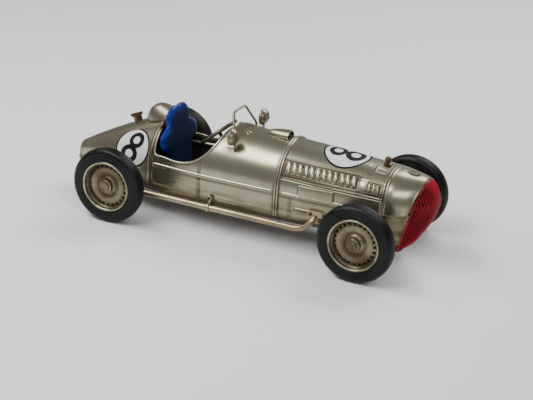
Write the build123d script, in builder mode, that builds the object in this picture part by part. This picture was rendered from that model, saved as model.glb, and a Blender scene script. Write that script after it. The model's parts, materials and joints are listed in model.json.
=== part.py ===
from build123d import *
import math
import os

# A pressed-tin friction toy: an open single-seat racing car of the 1930s, front engine,
# exposed wheels, exhaust pipe along the right side. Millimetres, +X forward, +Z up.
# The origin is on the floor, under the middle of the car.

# ---- Driving dimensions ----
REAR_AXLE_X = -96.5
FRONT_AXLE_X = 117.4
WHEEL_R = 31.0
TYRE_FACE_Y = 66.6  # the tyre's outer sidewall
RIM_R = 20.5  # where the tyre ends and the rim shows
SHEET = 0.8  # tinplate
PLATE = 1.2  # the frame's thicker steel
RIDGE_Z = 44.5  # the raised bead along each side
BEAD = 0.9  # how far that bead and the other embossing stand out
FOOT_Z = 25.0  # lower edge of the body pressings
COWL_FOOT_Z = 43.0  # lower edge of the nose cowl
BELLY_Z = 21.0  # underside of the base pan
SEAM_STRAP_X = 36.0
SEAM_NOSE_X = 124.0
HINGE_Z_REAR, HINGE_Z_FRONT = 57.0, 54.5  # the bonnet's side hinge line
FACE_X, FACE_Z, FACE_RAKE = 147.0, 57.5, 16.7  # a point of the raked grille plane, and its rake
AXLE_R = 2.0
SHAFT_R = 1.2
FIT = 0.06  # radial clearance of a running fit
TOUCH = 0.02  # gap left between pieces that are pressed or glued together

GEAR_MODULE = 0.8
DRIVE_TEETH, PINION_TEETH, IDLER_TEETH = 20, 10, 22
IDLER_Z, FLYWHEEL_Z = 36.0, 35.0
FLYWHEEL_R = 11.0

STEER_X, STEER_Z, STEER_ANGLE = -30.0, 71.0, 50.0
STEER_R, STEER_RIM_R = 16.0, 1.6

PIPE_Y, PIPE_Z, PIPE_R = -38.2, 21.0, 2.5

# Cross-sections, from tail to nose. Each row: x, top, half width at the ridge, half width at
# the foot, and the power of the arch (2 is an ellipse).
COCKPIT = [
    (-74, 77.0, 32.0, 32.0, 2.0),
    (-40, 80.0, 34.3, 34.0, 2.0),
    (-12, 80.6, 34.4, 34.2, 2.0),
    (12, 80.0, 33.9, 33.8, 2.0),
    (36, 79.0, 33.0, 33.0, 2.0),
]
ENGINE = [
    (36, 79.0, 33.0, 33.0, 2.0),
    (80, 76.6, 31.0, 29.8, 2.1),
    (124, 72.8, 27.6, 17.5, 2.35),
]
NOSE = [
    (124, 72.8, 27.6, 27.6, 2.35),
    (136, 71.6, 25.2, 25.2, 2.3),
    (146, 70.3, 20.4, 20.4, 2.2),
    (156, 67.5, 13.5, 13.5, 2.1),
]
# The tail has a raised spine with a crease at its foot. Each row: x, top, crease y, crease z,
# half width, ridge z, half width at the foot.
TAIL = [
    (-74, 77.5, 14.3, 72.0, 32.0, 44.5, 32.0),
    (-92, 70.9, 14.0, 65.2, 28.6, 43.5, 28.3),
    (-112, 62.4, 12.8, 57.0, 23.4, 41.0, 22.8),
    (-132, 52.4, 10.2, 47.6, 16.8, 37.5, 16.0),
    (-150, 42.4, 6.5, 38.5, 9.6, 33.5, 9.0),
    (-158, 37.0, 4.0, 34.0, 5.4, 30.5, 5.0),
    (-161, 33.5, 2.0, 31.5, 2.8, 28.5, 2.6),
]
# The chin under the nose cowl. Each row: x, then (half width, z) down to the keel.
CHIN = [
    (124, [(21.0, 44.0), (19.6, 34.0), (17.0, 24.0), (12.5, 14.5), (7.0, 10.0)], 9.0),
    (136, [(18.2, 44.0), (16.0, 34.0), (12.6, 24.0), (9.6, 14.0), (5.6, 8.2)], 7.0),
    (148, [(15.0, 44.0), (12.4, 34.0), (9.4, 24.0), (7.4, 14.0), (4.6, 7.2)], 6.0),
]
# The apron that joins the chin to the base pan. Each row: x, then (half width, z) downwards.
RAMP = [
    (92, [(27.3, 25.0), (27.0, 23.0), (25.2, 21.0)]),
    (108, [(23.0, 25.0), (21.0, 20.0), (15.0, 15.9)]),
    (124, [(17.4, 25.0), (14.2, 17.0), (8.0, 10.2)]),
]
# Side view of the cockpit opening, from the tail's edge forward and up to the dash.
COCKPIT_EDGE = [
    (-74.6, 58.0),
    (-73.4, 53.6),
    (-70.4, 51.6),
    (-65.0, 51.0),
    (-58.0, 50.5),
    (-50.7, 49.9),
    (-43.6, 50.4),
    (-37.0, 52.6),
    (-31.5, 55.6),
    (-25.0, 61.0),
    (-20.2, 66.8),
    (-16.8, 72.6),
    (-14.0, 78.2),
    (-12.0, 83.5),
]
# Plan view of the base pan, one side. Each row: x, half width.
PAN = [
    (-160.6, 2.6),
    (-158, 5.0),
    (-150, 9.0),
    (-132, 16.0),
    (-112, 22.8),
    (-92, 28.3),
    (-74, 32.0),
    (-40, 34.0),
    (0, 34.0),
    (36, 33.0),
    (92, 27.3),
]
# Front view of the grille, one side. Each row: half width, height above FACE_Z in its plane.
GRILLE_EDGE = [
    (13.4, 3.0),
    (13.9, 0.0),
    (17.2, -3.2),
    (17.2, -7.5),
    (14.6, -14.0),
    (13.6, -23.0),
    (11.0, -34.0),
    (9.8, -42.0),
    (7.6, -51.0),
]
GRILLE_TOP, GRILLE_BOTTOM = 13.3, -54.6
# Side view of the grille's centre bar. Each row: x, z.
GRILLE_PROW = [
    (151.2, 69.4),
    (156.6, 64.5),
    (160.0, 57.5),
    (160.8, 50.0),
    (158.6, 40.0),
    (154.6, 31.5),
    (149.4, 23.0),
    (142.6, 13.5),
    (134.0, 6.6),
]

PIECES = {}


def keep(name, part):
    """Registers a finished piece under its node name."""
    part.label = name
    PIECES[name] = part


def body_section(row, inset, low):
    """A closed section of the body at one station, inset by a sheet thickness, down to z low."""
    x, top, half, foot, power = row
    top, half, foot = top - inset, half - inset, foot - inset
    arch = []
    for k in range(6):
        a = math.radians(18 * k)
        y = half * max(math.cos(a), 0) ** (2 / power)
        arch.append((y, RIDGE_Z + (top - RIDGE_Z) * math.sin(a) ** (2 / power)))
    arch[-1] = (0, top)
    with BuildSketch(Plane.YZ.offset(x)) as section:
        with BuildLine():
            Spline(*arch, tangents=((0, 1), (-1, 0)))
            Polyline(arch[0], (foot, low), (0, low))
            mirror(about=Plane.YZ)
        make_face()
    return section


def tail_section(row, inset, low):
    """A closed section of the tail, with the crease at the foot of its spine."""
    x, top, crease_y, crease_z, half, ridge, foot = row
    half, foot, top = half - inset, foot - inset, top - inset
    crease_y, crease_z = crease_y - inset / 3, crease_z - inset
    rise = (crease_z - ridge) / math.sqrt(1 - (crease_y / half) ** 2)
    mid = (half * math.cos(math.radians(38)), ridge + rise * math.sin(math.radians(38)))
    flank_end = (-math.cos(math.radians(26)), math.sin(math.radians(26)))
    hump = (math.cos(math.radians(46)), math.sin(math.radians(46)))
    with BuildSketch(Plane.YZ.offset(x)) as section:
        with BuildLine():
            Spline((half, ridge), mid, (crease_y, crease_z), tangents=((0, 1), flank_end))
            Spline(
                (crease_y, crease_z),
                (0, top),
                (-crease_y, crease_z),
                tangents=((-hump[0], hump[1]), (-hump[0], -hump[1])),
            )
            Spline(
                (-crease_y, crease_z),
                (-mid[0], mid[1]),
                (-half, ridge),
                tangents=((flank_end[0], -flank_end[1]), (0, -1)),
            )
            Polyline((-half, ridge), (-foot, low), (foot, low), (half, ridge))
        make_face()
    return section


def chin_section(row, inset, top):
    """A closed section of the chin, open upwards once its inner twin is taken away."""
    x, side, keel = row
    right = [(y - inset, z) for y, z in side]
    right[0] = (right[0][0], top)
    left = [(-y, z) for y, z in reversed(right)]
    with BuildSketch(Plane.YZ.offset(x)) as section:
        with BuildLine():
            Spline(*right, (0, keel + inset), *left)
            Line(left[-1], right[0])
        make_face()
    return section


def lofted(rows, section, inset, low):
    """The body's shape through some stations, inset by a distance (outwards if negative)."""
    with BuildPart() as body:
        for row in rows:
            add(section(row, inset, low).sketch)
        loft()
    return body.part


def apron_section(row, inset, top):
    """A closed section of the apron under the front of the engine, folded from flat facets."""
    x, side = row
    facets = [(max(y - inset, 0), z + inset) for y, z in side]
    with BuildSketch(Plane.YZ.offset(x)) as section:
        with BuildLine():
            Polyline(*facets, (0, facets[-1][1]))
            Polyline(facets[0], (facets[0][0], top), (0, top))
            mirror(about=Plane.YZ)
        make_face()
    return section


def side_prism(points, y_half, corners):
    """A prism across the car whose side view is a spline closed by straight lines."""
    with BuildPart() as prism:
        with BuildSketch(Plane.XZ):
            with BuildLine():
                Spline(*points)
                Polyline(points[-1], *corners, points[0])
            make_face()
        extrude(amount=y_half, both=True)
    return prism.part


def slab(x0, x1, z0, z1, y0=-60, y1=60):
    """A box right across the car, used to pick out a stretch of its flanks."""
    with BuildPart() as box:
        with Locations(((x0 + x1) / 2, (y0 + y1) / 2, (z0 + z1) / 2)):
            Box(x1 - x0, y1 - y0, z1 - z0)
    return box.part


def rod(start, end, radius):
    """A round rod between two points."""
    start, end = Vector(*start), Vector(*end)
    with BuildPart() as bar:
        with BuildSketch(Plane(origin=start, z_dir=end - start)):
            Circle(radius)
        extrude(amount=(end - start).length)
    return bar.part


def wire(path, radius):
    """A round wire swept along a path."""
    with BuildPart() as swept:
        with BuildSketch(Plane(origin=path @ 0, z_dir=path % 0)):
            Circle(radius)
        sweep(path=path, transition=Transition.ROUND)
    return swept.part


def biggest(part):
    """The largest solid of a part."""
    return part.solids().sort_by(SortBy.VOLUME)[-1]


def seated(part, *bodies):
    """A piece trimmed back to the faces of the bodies that it sits on."""
    with BuildPart() as trimmed:
        add(part)
        for body in bodies:
            add(body, mode=Mode.SUBTRACT)
    return trimmed.part


def both_sides(part):
    """A piece and its mirror image on the other side of the car, as separate solids."""
    return Compound(children=[*part.solids(), *mirror(part, about=Plane.XZ).solids()])


def raked_plane(offset=0.0):
    """The plane of the grille's edge, leaning back at its foot. Its normal points forward."""
    a = math.radians(FACE_RAKE)
    normal = Vector(math.cos(a), 0, -math.sin(a))
    origin = Vector(FACE_X, 0, FACE_Z) + normal * offset
    return Plane(origin=origin, x_dir=(0, 1, 0), z_dir=normal)


# ---- Body pressings ----
tail_outer = lofted(TAIL, tail_section, 0, FOOT_Z)
tail_inner = lofted(TAIL[:-1], tail_section, SHEET, FOOT_Z - 6)
cockpit_outer = lofted(COCKPIT, body_section, 0, FOOT_Z)
cockpit_inner = lofted(COCKPIT, body_section, SHEET, FOOT_Z - 6)
engine_outer = lofted(ENGINE, body_section, 0, FOOT_Z)
engine_inner = lofted(ENGINE, body_section, SHEET, FOOT_Z - 6)
nose_outer = lofted(NOSE, body_section, 0, COWL_FOOT_Z)
nose_inner = lofted(NOSE, body_section, SHEET, COWL_FOOT_Z + SHEET)

with BuildPart() as tail_shell:
    add(tail_outer)
    add(tail_inner, mode=Mode.SUBTRACT)
    add(rod((REAR_AXLE_X, -60, WHEEL_R), (REAR_AXLE_X, 60, WHEEL_R), 3.0), mode=Mode.SUBTRACT)
keep("tail_shell", tail_shell.part)

cockpit_gap = side_prism(COCKPIT_EDGE, 60, [(-12, 96), (-80, 96), (-80, 58)])
with BuildPart() as cockpit_shell:
    add(cockpit_outer)
    add(cockpit_inner, mode=Mode.SUBTRACT)
    add(cockpit_gap, mode=Mode.SUBTRACT)
keep("cockpit_shell", cockpit_shell.part)

# The engine cover is embossed, then parted along its hinge line into a bonnet and side panels
with BuildPart() as embossing:
    add(slab(56, 85, 47.0, 53.6))
    add(slab(54, 65, 33.8, 35.2))
with BuildPart() as engine_cover:
    add(lofted(ENGINE, body_section, -BEAD, FOOT_Z))
    add(embossing.part, mode=Mode.INTERSECT)
    add(engine_outer)
    add(engine_inner, mode=Mode.SUBTRACT)
    add(rod((FRONT_AXLE_X, -60, WHEEL_R), (FRONT_AXLE_X, 60, WHEEL_R), 3.0), mode=Mode.SUBTRACT)
with BuildPart() as above_hinge:
    with BuildSketch(Plane.XZ):
        with BuildLine():
            Polyline(
                (SEAM_STRAP_X, HINGE_Z_REAR),
                (SEAM_NOSE_X, HINGE_Z_FRONT),
                (SEAM_NOSE_X, 96),
                (SEAM_STRAP_X, 96),
                close=True,
            )
        make_face()
    extrude(amount=60, both=True)
with BuildPart() as bonnet:
    add(engine_cover.part)
    add(above_hinge.part, mode=Mode.INTERSECT)
with BuildPart() as side_panels:
    add(engine_cover.part)
    add(above_hinge.part, mode=Mode.SUBTRACT)
keep("bonnet", bonnet.part)
keep("side_panel_right", side_panels.part.solids().sort_by(Axis.Y)[0])
keep("side_panel_left", side_panels.part.solids().sort_by(Axis.Y)[-1])

# ---- Trim on the pressings ----
with BuildPart() as strap_band:
    add(lofted(ENGINE, body_section, -1.2, FOOT_Z))
    add(slab(SEAM_STRAP_X, SEAM_STRAP_X + 4, FOOT_Z, 96), mode=Mode.INTERSECT)
    add(engine_outer, mode=Mode.SUBTRACT)
keep("strap_band", strap_band.part)

# A bright half-round bead runs along each flank, broken by the strap
with BuildPart() as rear_bead:
    add(slab(-74, SEAM_STRAP_X, RIDGE_Z - 0.9, RIDGE_Z + 0.9, -60, -28))
    add(lofted(COCKPIT, body_section, -BEAD, FOOT_Z), mode=Mode.INTERSECT)
    add(cockpit_outer, mode=Mode.SUBTRACT)
with BuildPart() as front_bead:
    add(slab(SEAM_STRAP_X + 4, 112, RIDGE_Z - 0.9, RIDGE_Z + 0.9, -60, -24))
    add(lofted(ENGINE, body_section, -BEAD, FOOT_Z), mode=Mode.INTERSECT)
    add(engine_outer, mode=Mode.SUBTRACT)
keep("side_beads", both_sides(Compound(children=[biggest(rear_bead.part), biggest(front_bead.part)])))

louvre_skin = lofted(ENGINE, body_section, -0.5, FOOT_Z)
louvre_bulge = lofted(ENGINE, body_section, -1.5, FOOT_Z)


def louvre_panel(x0, x1, rear_z, front_z, height, count):
    """A framed row of pressed louvres on the right flank of the bonnet."""
    slope = (front_z - rear_z) / (x1 - x0)
    pitch = (x1 - x0 - 2.4) / count
    with BuildPart() as frame:
        with BuildSketch(Plane.XZ):
            with BuildLine():
                Polyline(
                    (x0, rear_z),
                    (x1, front_z),
                    (x1, front_z + height),
                    (x0, rear_z + height),
                    close=True,
                )
            make_face()
        extrude(amount=60)
        add(louvre_skin, mode=Mode.INTERSECT)
    with BuildPart() as slats:
        with BuildSketch(Plane.XZ):
            for k in range(count):
                x = x0 + 1.2 + pitch * (k + 0.5)
                with Locations((x, rear_z + slope * (x - x0) + height / 2)):
                    Rectangle(pitch * 0.62, height - 2.4)
        extrude(amount=60)
        add(louvre_bulge, mode=Mode.INTERSECT)
    with BuildPart() as panel:
        add(frame.part)
        add(slats.part)
        add(engine_outer, mode=Mode.SUBTRACT)
    return panel.part.solids().sort_by(SortBy.VOLUME)[-1]


main_louvres = louvre_panel(41.5, 103, 59.6, 58.6, 9.0, 13)
front_louvres = louvre_panel(108.5, 120.5, 57.0, 56.6, 8.4, 3)
keep("louvre_panels", both_sides(Compound(children=[main_louvres, front_louvres])))

with BuildPart() as bonnet_roundel:
    add(rod((82.8, 0, 60), (82.8, 0, 90), 19.2))
    add(lofted(ENGINE, body_section, -0.3, FOOT_Z), mode=Mode.INTERSECT)
    add(engine_outer, mode=Mode.SUBTRACT)
keep("bonnet_roundel", bonnet_roundel.part)

with BuildPart() as tail_roundel:
    add(rod((-94.5, -11.5, 51.2), (-94.5, -60, 51.2), 16.0))
    add(lofted(TAIL, tail_section, -0.3, FOOT_Z), mode=Mode.INTERSECT)
    add(tail_outer, mode=Mode.SUBTRACT)
keep("tail_roundels", both_sides(tail_roundel.part.solids().sort_by(SortBy.VOLUME)[-1]))

with BuildPart() as bonnet_plate:
    add(slab(110, 120.5, 60, 90, -18, -10))
    add(louvre_skin, mode=Mode.INTERSECT)
    add(engine_outer, mode=Mode.SUBTRACT)
keep("bonnet_plate", bonnet_plate.part)

with BuildPart() as radiator_cap:
    with BuildSketch(Plane.XZ.offset(0)):
        with BuildLine():
            Polyline((0, 70), (3.2, 70), (3.2, 74.8), (2.0, 75.4), (1.6, 77.0))
            Spline((1.6, 77.0), (2.7, 78.6), (0, 80.4), tangents=((1, 0.2), (-1, 0)))
            Line((0, 80.4), (0, 70))
        make_face()
    revolve(axis=Axis.Z)
radiator_cap_solid = radiator_cap.part.moved(Location((116.3, 0, 0)))
with BuildPart() as seated_cap:
    add(radiator_cap_solid)
    add(engine_outer, mode=Mode.SUBTRACT)
keep("radiator_cap", seated_cap.part)

SCOOP = [(14.7, 3.2, 82.2), (20, 4.6, 83.8), (28, 5.6, 84.8), (33.5, 5.8, 85.2)]


def scoop_loft(rows, inset):
    """The air scoop's outer shape, or its throat when inset."""
    with BuildPart() as scoop:
        for x, half, top in rows:
            half, top = half - inset, top - inset
            with BuildSketch(Plane.YZ.offset(x)):
                with BuildLine():
                    Spline((half, 77), (half, top - 2.8), (0, top), (-half, top - 2.8), (-half, 77))
                    Line((-half, 77), (half, 77))
                make_face()
        loft()
    return scoop.part


with BuildPart() as air_scoop:
    add(scoop_loft(SCOOP, 0))
    add(scoop_loft(SCOOP[1:], 0.9), mode=Mode.SUBTRACT)
    add(cockpit_outer, mode=Mode.SUBTRACT)
keep("air_scoop", air_scoop.part.solids().sort_by(SortBy.VOLUME)[-1])

# ---- Nose ----
grille_plane = raked_plane()
with BuildPart() as ahead_of_grille:
    with BuildSketch(grille_plane):
        Rectangle(160, 240)
    extrude(amount=60)


def grille_block(inset, back, front):
    """The grille's pear-shaped outline in its raked plane, given some depth."""
    right = [(y - inset, z) for y, z in GRILLE_EDGE]
    left = [(-y, z) for y, z in reversed(right)]
    with BuildPart() as block:
        with BuildSketch(grille_plane.offset(-back)):
            with BuildLine():
                ThreePointArc(left[-1], (0, GRILLE_TOP - inset), right[0])
                Polyline(*right)
                ThreePointArc(right[-1], (0, GRILLE_BOTTOM + inset), left[0])
                Polyline(*left)
            make_face()
        extrude(amount=back + front)
    return block.part


grille_hole = grille_block(1.8, 3, 30)
with BuildPart() as nose_cowl:
    add(nose_outer)
    add(ahead_of_grille.part, mode=Mode.SUBTRACT)
    add(nose_inner - ahead_of_grille.part.moved(Location((-1.0, 0, 0))), mode=Mode.SUBTRACT)
    add(grille_hole, mode=Mode.SUBTRACT)
keep("nose_cowl", nose_cowl.part)

with BuildPart() as chin:
    add(lofted(CHIN, chin_section, 0, COWL_FOOT_Z))
    add(lofted(CHIN, chin_section, SHEET, COWL_FOOT_Z + 3), mode=Mode.SUBTRACT)
    add(ahead_of_grille.part, mode=Mode.SUBTRACT)
keep("chin_fairing", chin.part)

with BuildPart() as apron:
    add(lofted(RAMP, apron_section, 0, FOOT_Z + 2))
    add(lofted(RAMP, apron_section, SHEET, FOOT_Z + 4), mode=Mode.SUBTRACT)
    add(slab(90, 126, FOOT_Z, 40), mode=Mode.SUBTRACT)
keep("front_apron", apron.part)

with BuildPart() as grille_frame:
    add(grille_block(0, 0, 2.4))
    add(grille_block(2.2, 1, 4), mode=Mode.SUBTRACT)
keep("grille_frame", grille_frame.part)

with BuildPart() as backing:
    add(grille_block(1.9, 1.2, -0.4))
keep("grille_backing", biggest(seated(backing.part, chin.part)))


def grille_half_width(height):
    """Half width of the grille at a height above FACE_Z in its own plane."""
    (w_top, v_top), (w_low, v_low) = GRILLE_EDGE[0], GRILLE_EDGE[-1]
    if height > v_top:
        return w_top * math.sqrt(max(1 - ((height - v_top) / (GRILLE_TOP - v_top)) ** 2, 0))
    if height < v_low:
        return w_low * math.sqrt(max(1 - ((v_low - height) / (v_low - GRILLE_BOTTOM)) ** 2, 0))
    for (w0, v0), (w1, v1) in zip(GRILLE_EDGE, GRILLE_EDGE[1:]):
        if v1 <= height <= v0:
            return w0 + (w1 - w0) * (height - v0) / (v1 - v0)
    return w_low


def prow_x(y, z):
    """The grille's surface: it bulges forward of its plane, most along the centre line."""
    plane_x = FACE_X + (z - FACE_Z) * math.tan(math.radians(FACE_RAKE))
    rows = sorted((pz, px) for px, pz in GRILLE_PROW)
    x_mid = rows[0][1] if z < rows[0][0] else rows[-1][1]
    for (z0, x0), (z1, x1) in zip(rows, rows[1:]):
        if z0 <= z <= z1:
            x_mid = x0 + (x1 - x0) * (z - z0) / (z1 - z0)
    half = max(grille_half_width((z - FACE_Z) / math.cos(math.radians(FACE_RAKE))), 1)
    return plane_x + 0.4 + max(x_mid - plane_x, 0) * max(1 - (y / half) ** 2, 0)


BAR_PITCH, BAR_W, BAR_DEPTH = 2.15, 1.1, 1.8
with BuildPart() as grille_bars:
    for k in range(-7, 8):
        y = BAR_PITCH * k
        heights = [6.2 + 0.5 * n for n in range(128)]
        inside = []
        for z in heights:
            reach = grille_half_width((z - FACE_Z) / math.cos(math.radians(FACE_RAKE)))
            if reach > abs(y) + 1.2:
                inside.append(z)
        step = (inside[-1] - inside[0]) / 12
        face = [(prow_x(y, inside[0] + step * n), inside[0] + step * n) for n in range(13)]
        back = [(x - BAR_DEPTH, z) for x, z in face]
        with BuildSketch(Plane.XZ.offset(-y)):
            with BuildLine():
                Spline(*face)
                Line(face[-1], back[-1])
                Spline(*reversed(back))
                Line(back[0], face[0])
            make_face()
        extrude(amount=BAR_W / 2, both=True)
    for n in range(16):
        z = 9.5 + 3.7 * n
        half = grille_half_width((z - FACE_Z) / math.cos(math.radians(FACE_RAKE))) - 1.2
        face = [(prow_x(half * m / 4, z) - 0.5, half * m / 4) for m in range(-4, 5)]
        back = [(x - 1.0, y) for x, y in face]
        with BuildSketch(Plane.XY.offset(z)):
            with BuildLine():
                Spline(*face)
                Line(face[-1], back[-1])
                Spline(*reversed(back))
                Line(back[0], face[0])
            make_face()
        extrude(amount=0.8)
    add(grille_frame.part, mode=Mode.SUBTRACT)
    add(backing.part, mode=Mode.SUBTRACT)
keep("grille_bars", grille_bars.part.solids().sort_by(SortBy.VOLUME)[-1])

with BuildPart() as nose_badge:
    with BuildSketch(Plane.XY.offset(69)):
        with Locations((138, 0)):
            Ellipse(4.6, 3.2)
    extrude(amount=3.6)
    with BuildSketch(Plane.XY.offset(71.9)):
        with Locations((138, 0)):
            Ellipse(3.2, 1.9)
    extrude(amount=2, mode=Mode.SUBTRACT)
    add(nose_outer, mode=Mode.SUBTRACT)
keep("nose_badge", nose_badge.part)


# ---- Base ----
def pan_block(inset, z0, z1):
    """The base pan's outline, given some depth."""
    side = [(x, half - inset) for x, half in PAN]
    side[0] = (PAN[0][0] + inset, side[0][1])
    side[-1] = (PAN[-1][0] - inset, side[-1][1])
    with BuildPart() as block:
        with BuildSketch(Plane.XY.offset(z0)):
            with BuildLine():
                Spline(*side)
                Line(side[-1], (side[-1][0], 0))
                Line((side[0][0], 0), side[0])
                mirror(about=Plane.XZ)
            make_face()
        extrude(amount=z1 - z0)
    return block.part


with BuildPart() as belly_pan:
    add(pan_block(0, BELLY_Z, FOOT_Z))
    fillet(belly_pan.edges().group_by(Axis.Z)[0], 2.2)
    add(pan_block(SHEET + 1.0, BELLY_Z + SHEET, FOOT_Z), mode=Mode.SUBTRACT)
keep("belly_pan", belly_pan.part)

with BuildPart() as front_bracket:
    add(slab(110, 123, FOOT_Z + 0.1, FOOT_Z + 1.3))
    add(engine_inner, mode=Mode.INTERSECT)
    for y in (-14, 14):
        with BuildSketch(Plane.XZ.offset(y + PLATE / 2)):
            with Locations((FRONT_AXLE_X, 31)):
                Rectangle(9, 10.2)
        extrude(amount=-PLATE)
    add(rod((FRONT_AXLE_X, -60, WHEEL_R), (FRONT_AXLE_X, 60, WHEEL_R), AXLE_R + FIT), mode=Mode.SUBTRACT)
keep("front_bracket", front_bracket.part)

# ---- Cockpit ----
with BuildPart() as rear_bulkhead:
    add(slab(-75, -74.2, FOOT_Z + 0.1, 96))
    add(tail_inner, mode=Mode.INTERSECT)
keep("rear_bulkhead", rear_bulkhead.part)

with BuildPart() as cockpit_floor:
    add(slab(-74, -8, FOOT_Z + 0.1, FOOT_Z + 0.9))
    add(cockpit_inner, mode=Mode.INTERSECT)
keep("cockpit_floor", cockpit_floor.part)

# Steering gear: a fixed tube through the dash, and the wheel whose shaft turns in it
steer_axis = Vector(-math.cos(math.radians(STEER_ANGLE)), 0, math.sin(math.radians(STEER_ANGLE)))
steer_centre = Vector(STEER_X, 0, STEER_Z)
steer_plane = Plane(origin=steer_centre, x_dir=(0, 1, 0), z_dir=steer_axis)
with BuildPart(steer_plane) as steering_column:
    with Locations((0, 0, -20)):
        Cylinder(2.6, 32)
    with Locations((0, 0, -16)):
        Cylinder(1.5 + FIT, 24.1, mode=Mode.SUBTRACT)
keep("steering_column", steering_column.part)

with BuildPart(steer_plane) as steering_wheel:
    Torus(STEER_R, STEER_RIM_R)
    Cylinder(4.2, 3.0)
    with PolarLocations(STEER_R / 2 + 1, 3, start_angle=180):
        Box(STEER_R - 3.5, 2.6, 1.0)
    with Locations((0, 0, -13)):
        Cylinder(1.5, 26)
keep("steering_wheel", steering_wheel.part)

with BuildPart() as dash_panel:
    add(slab(-9, -8, FOOT_Z + 0.9 + TOUCH, 96))
    add(cockpit_inner, mode=Mode.INTERSECT)
    add(rod(steer_centre, steer_centre - steer_axis * 40, 2.6 + TOUCH), mode=Mode.SUBTRACT)
keep("dash_panel", dash_panel.part)

SEAT_BACK = [
    (22.5, 26.2),
    (22.8, 40),
    (23.6, 50),
    (26.4, 57.5),
    (26.9, 63),
    (23.8, 68.8),
    (16.8, 72.5),
    (13.2, 76.5),
    (13.4, 82),
    (9.6, 87),
    (4.4, 88.9),
    (0, 88.0),
]
SEAT_X, SEAT_Z, SEAT_LEAN = -66.1, 56, 5.0  # the line the back leans about, and its angle
with BuildPart() as seat_back:
    with BuildSketch(Plane.YZ.offset(-70.4)):
        with BuildLine():
            Spline(*SEAT_BACK, tangents=((0.2, 1), (-1, 0)))
            Line(SEAT_BACK[0], (0, SEAT_BACK[0][1]))
            mirror(about=Plane.YZ)
        make_face()
    extrude(amount=8.4)
    fillet(seat_back.edges().filter_by(Plane.YZ), 2.4)
    with BuildSketch(Plane.XY.offset(34)):
        for k in range(-5, 6):
            with Locations((-62.0, 4.4 * k)):
                Circle(0.7)
    extrude(amount=60, mode=Mode.SUBTRACT)
keep("seat_back", seat_back.part.rotate(Axis((SEAT_X, 0, SEAT_Z), (0, 1, 0)), -SEAT_LEAN))

with BuildPart() as seat_cushion:
    with Locations((-46.8, 0, 30.3)):
        Box(22.8, 46, 8.2)
    fillet(seat_cushion.edges().group_by(Axis.Z)[-1] + seat_cushion.edges().filter_by(Axis.Z), 3.0)
keep("seat_cushion", seat_cushion.part)

HEADREST = [
    (-95.0, 2.0, 4.0),
    (-93.0, 5.4, 8.4),
    (-89.0, 8.8, 13.0),
    (-83.0, 10.6, 15.4),
    (-77.0, 11.0, 15.0),
    (-71.0, 10.4, 13.6),
]
with BuildPart() as headrest:
    for x, half, height in HEADREST:
        with BuildSketch(Plane.YZ.offset(x)):
            with Locations((0, 70)):
                Ellipse(half, height)
    loft()
    add(tail_outer, mode=Mode.SUBTRACT)
    add(slab(-74.0, -60, 40, 96), mode=Mode.SUBTRACT)
keep("headrest", headrest.part.solids().sort_by(Axis.Z)[-1])

spine = Plane(origin=(-104, 0, 65.4), x_dir=(0.92, 0, 0.39), z_dir=(-0.39, 0, 0.92))
with BuildPart(spine) as filler_cap:
    Cylinder(3.5, 12)
    with Locations((0, 0, 5.6)):
        Cylinder(4.8, 1.6)
    with Locations((0, 0, 6.6)):
        Box(11.4, 2.2, 1.6)
keep("filler_cap", seated(filler_cap.part, tail_outer).solids().sort_by(Axis.Z)[-1])

with BuildPart() as scuttle_hood:
    add(lofted(COCKPIT, body_section, -0.9, FOOT_Z))
    add(slab(-10.2, -4.5, 70.5, 96), mode=Mode.INTERSECT)
    add(cockpit_outer, mode=Mode.SUBTRACT)
keep("scuttle_hood", scuttle_hood.part)

# The rolled edge round the cockpit: up the tail's front edge, then along the cut in the shell
RIM_WIRE_R = 1.05
RIM_STEP = 1.25  # from the cut to the middle of the wire
rim_points = []
for a in (56, 44, 30):
    y, z = 31.6 * math.cos(math.radians(a)), RIDGE_Z + 30.3 * math.sin(math.radians(a))
    rim_points.append((-74 + RIM_STEP, -y, z))
for (xa, za), (x, z), (xb, zb) in zip(COCKPIT_EDGE[1:], COCKPIT_EDGE[2:], COCKPIT_EDGE[3:]):
    step = RIM_STEP / math.hypot(xb - xa, zb - za)
    x, z = x - (zb - za) * step, z + (xb - xa) * step
    hit = cockpit_outer.find_intersection_points(Axis((x, -90, z), (0, 1, 0)))[0][0]
    rim_points.append((x, hit.Y + SHEET / 2, z))
# Evenly spread points, two short steps at each end and longer ones between, keep the wire smooth
rim_points = [rim_points[k] for k in (0, 2, 3, 4, 6, 8, 10, 12, 13)]
rim_mirrored = [(x, -y, z) for x, y, z in reversed(rim_points)]
with BuildLine() as rim_path:
    Spline(*rim_points, (-12 - RIM_STEP, 0, 80.2), *rim_mirrored)
keep("cockpit_rim", wire(rim_path.line, RIM_WIRE_R))

with BuildLine() as screen_path:
    Polyline(
        (-6.2, -20.6, 70),
        (-6.4, -20, 78),
        (-12.4, -10, 94.2),
        (-12.4, 10, 94.2),
        (-6.4, 20, 78),
        (-6.2, 20.6, 70),
    )
with BuildPart() as windscreen_frame:
    add(wire(screen_path.line, 1.0))
    add(cockpit_outer, mode=Mode.SUBTRACT)
    add(scuttle_hood.part, mode=Mode.SUBTRACT)
keep("windscreen_frame", windscreen_frame.part.solids().sort_by(SortBy.VOLUME)[-1])

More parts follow.
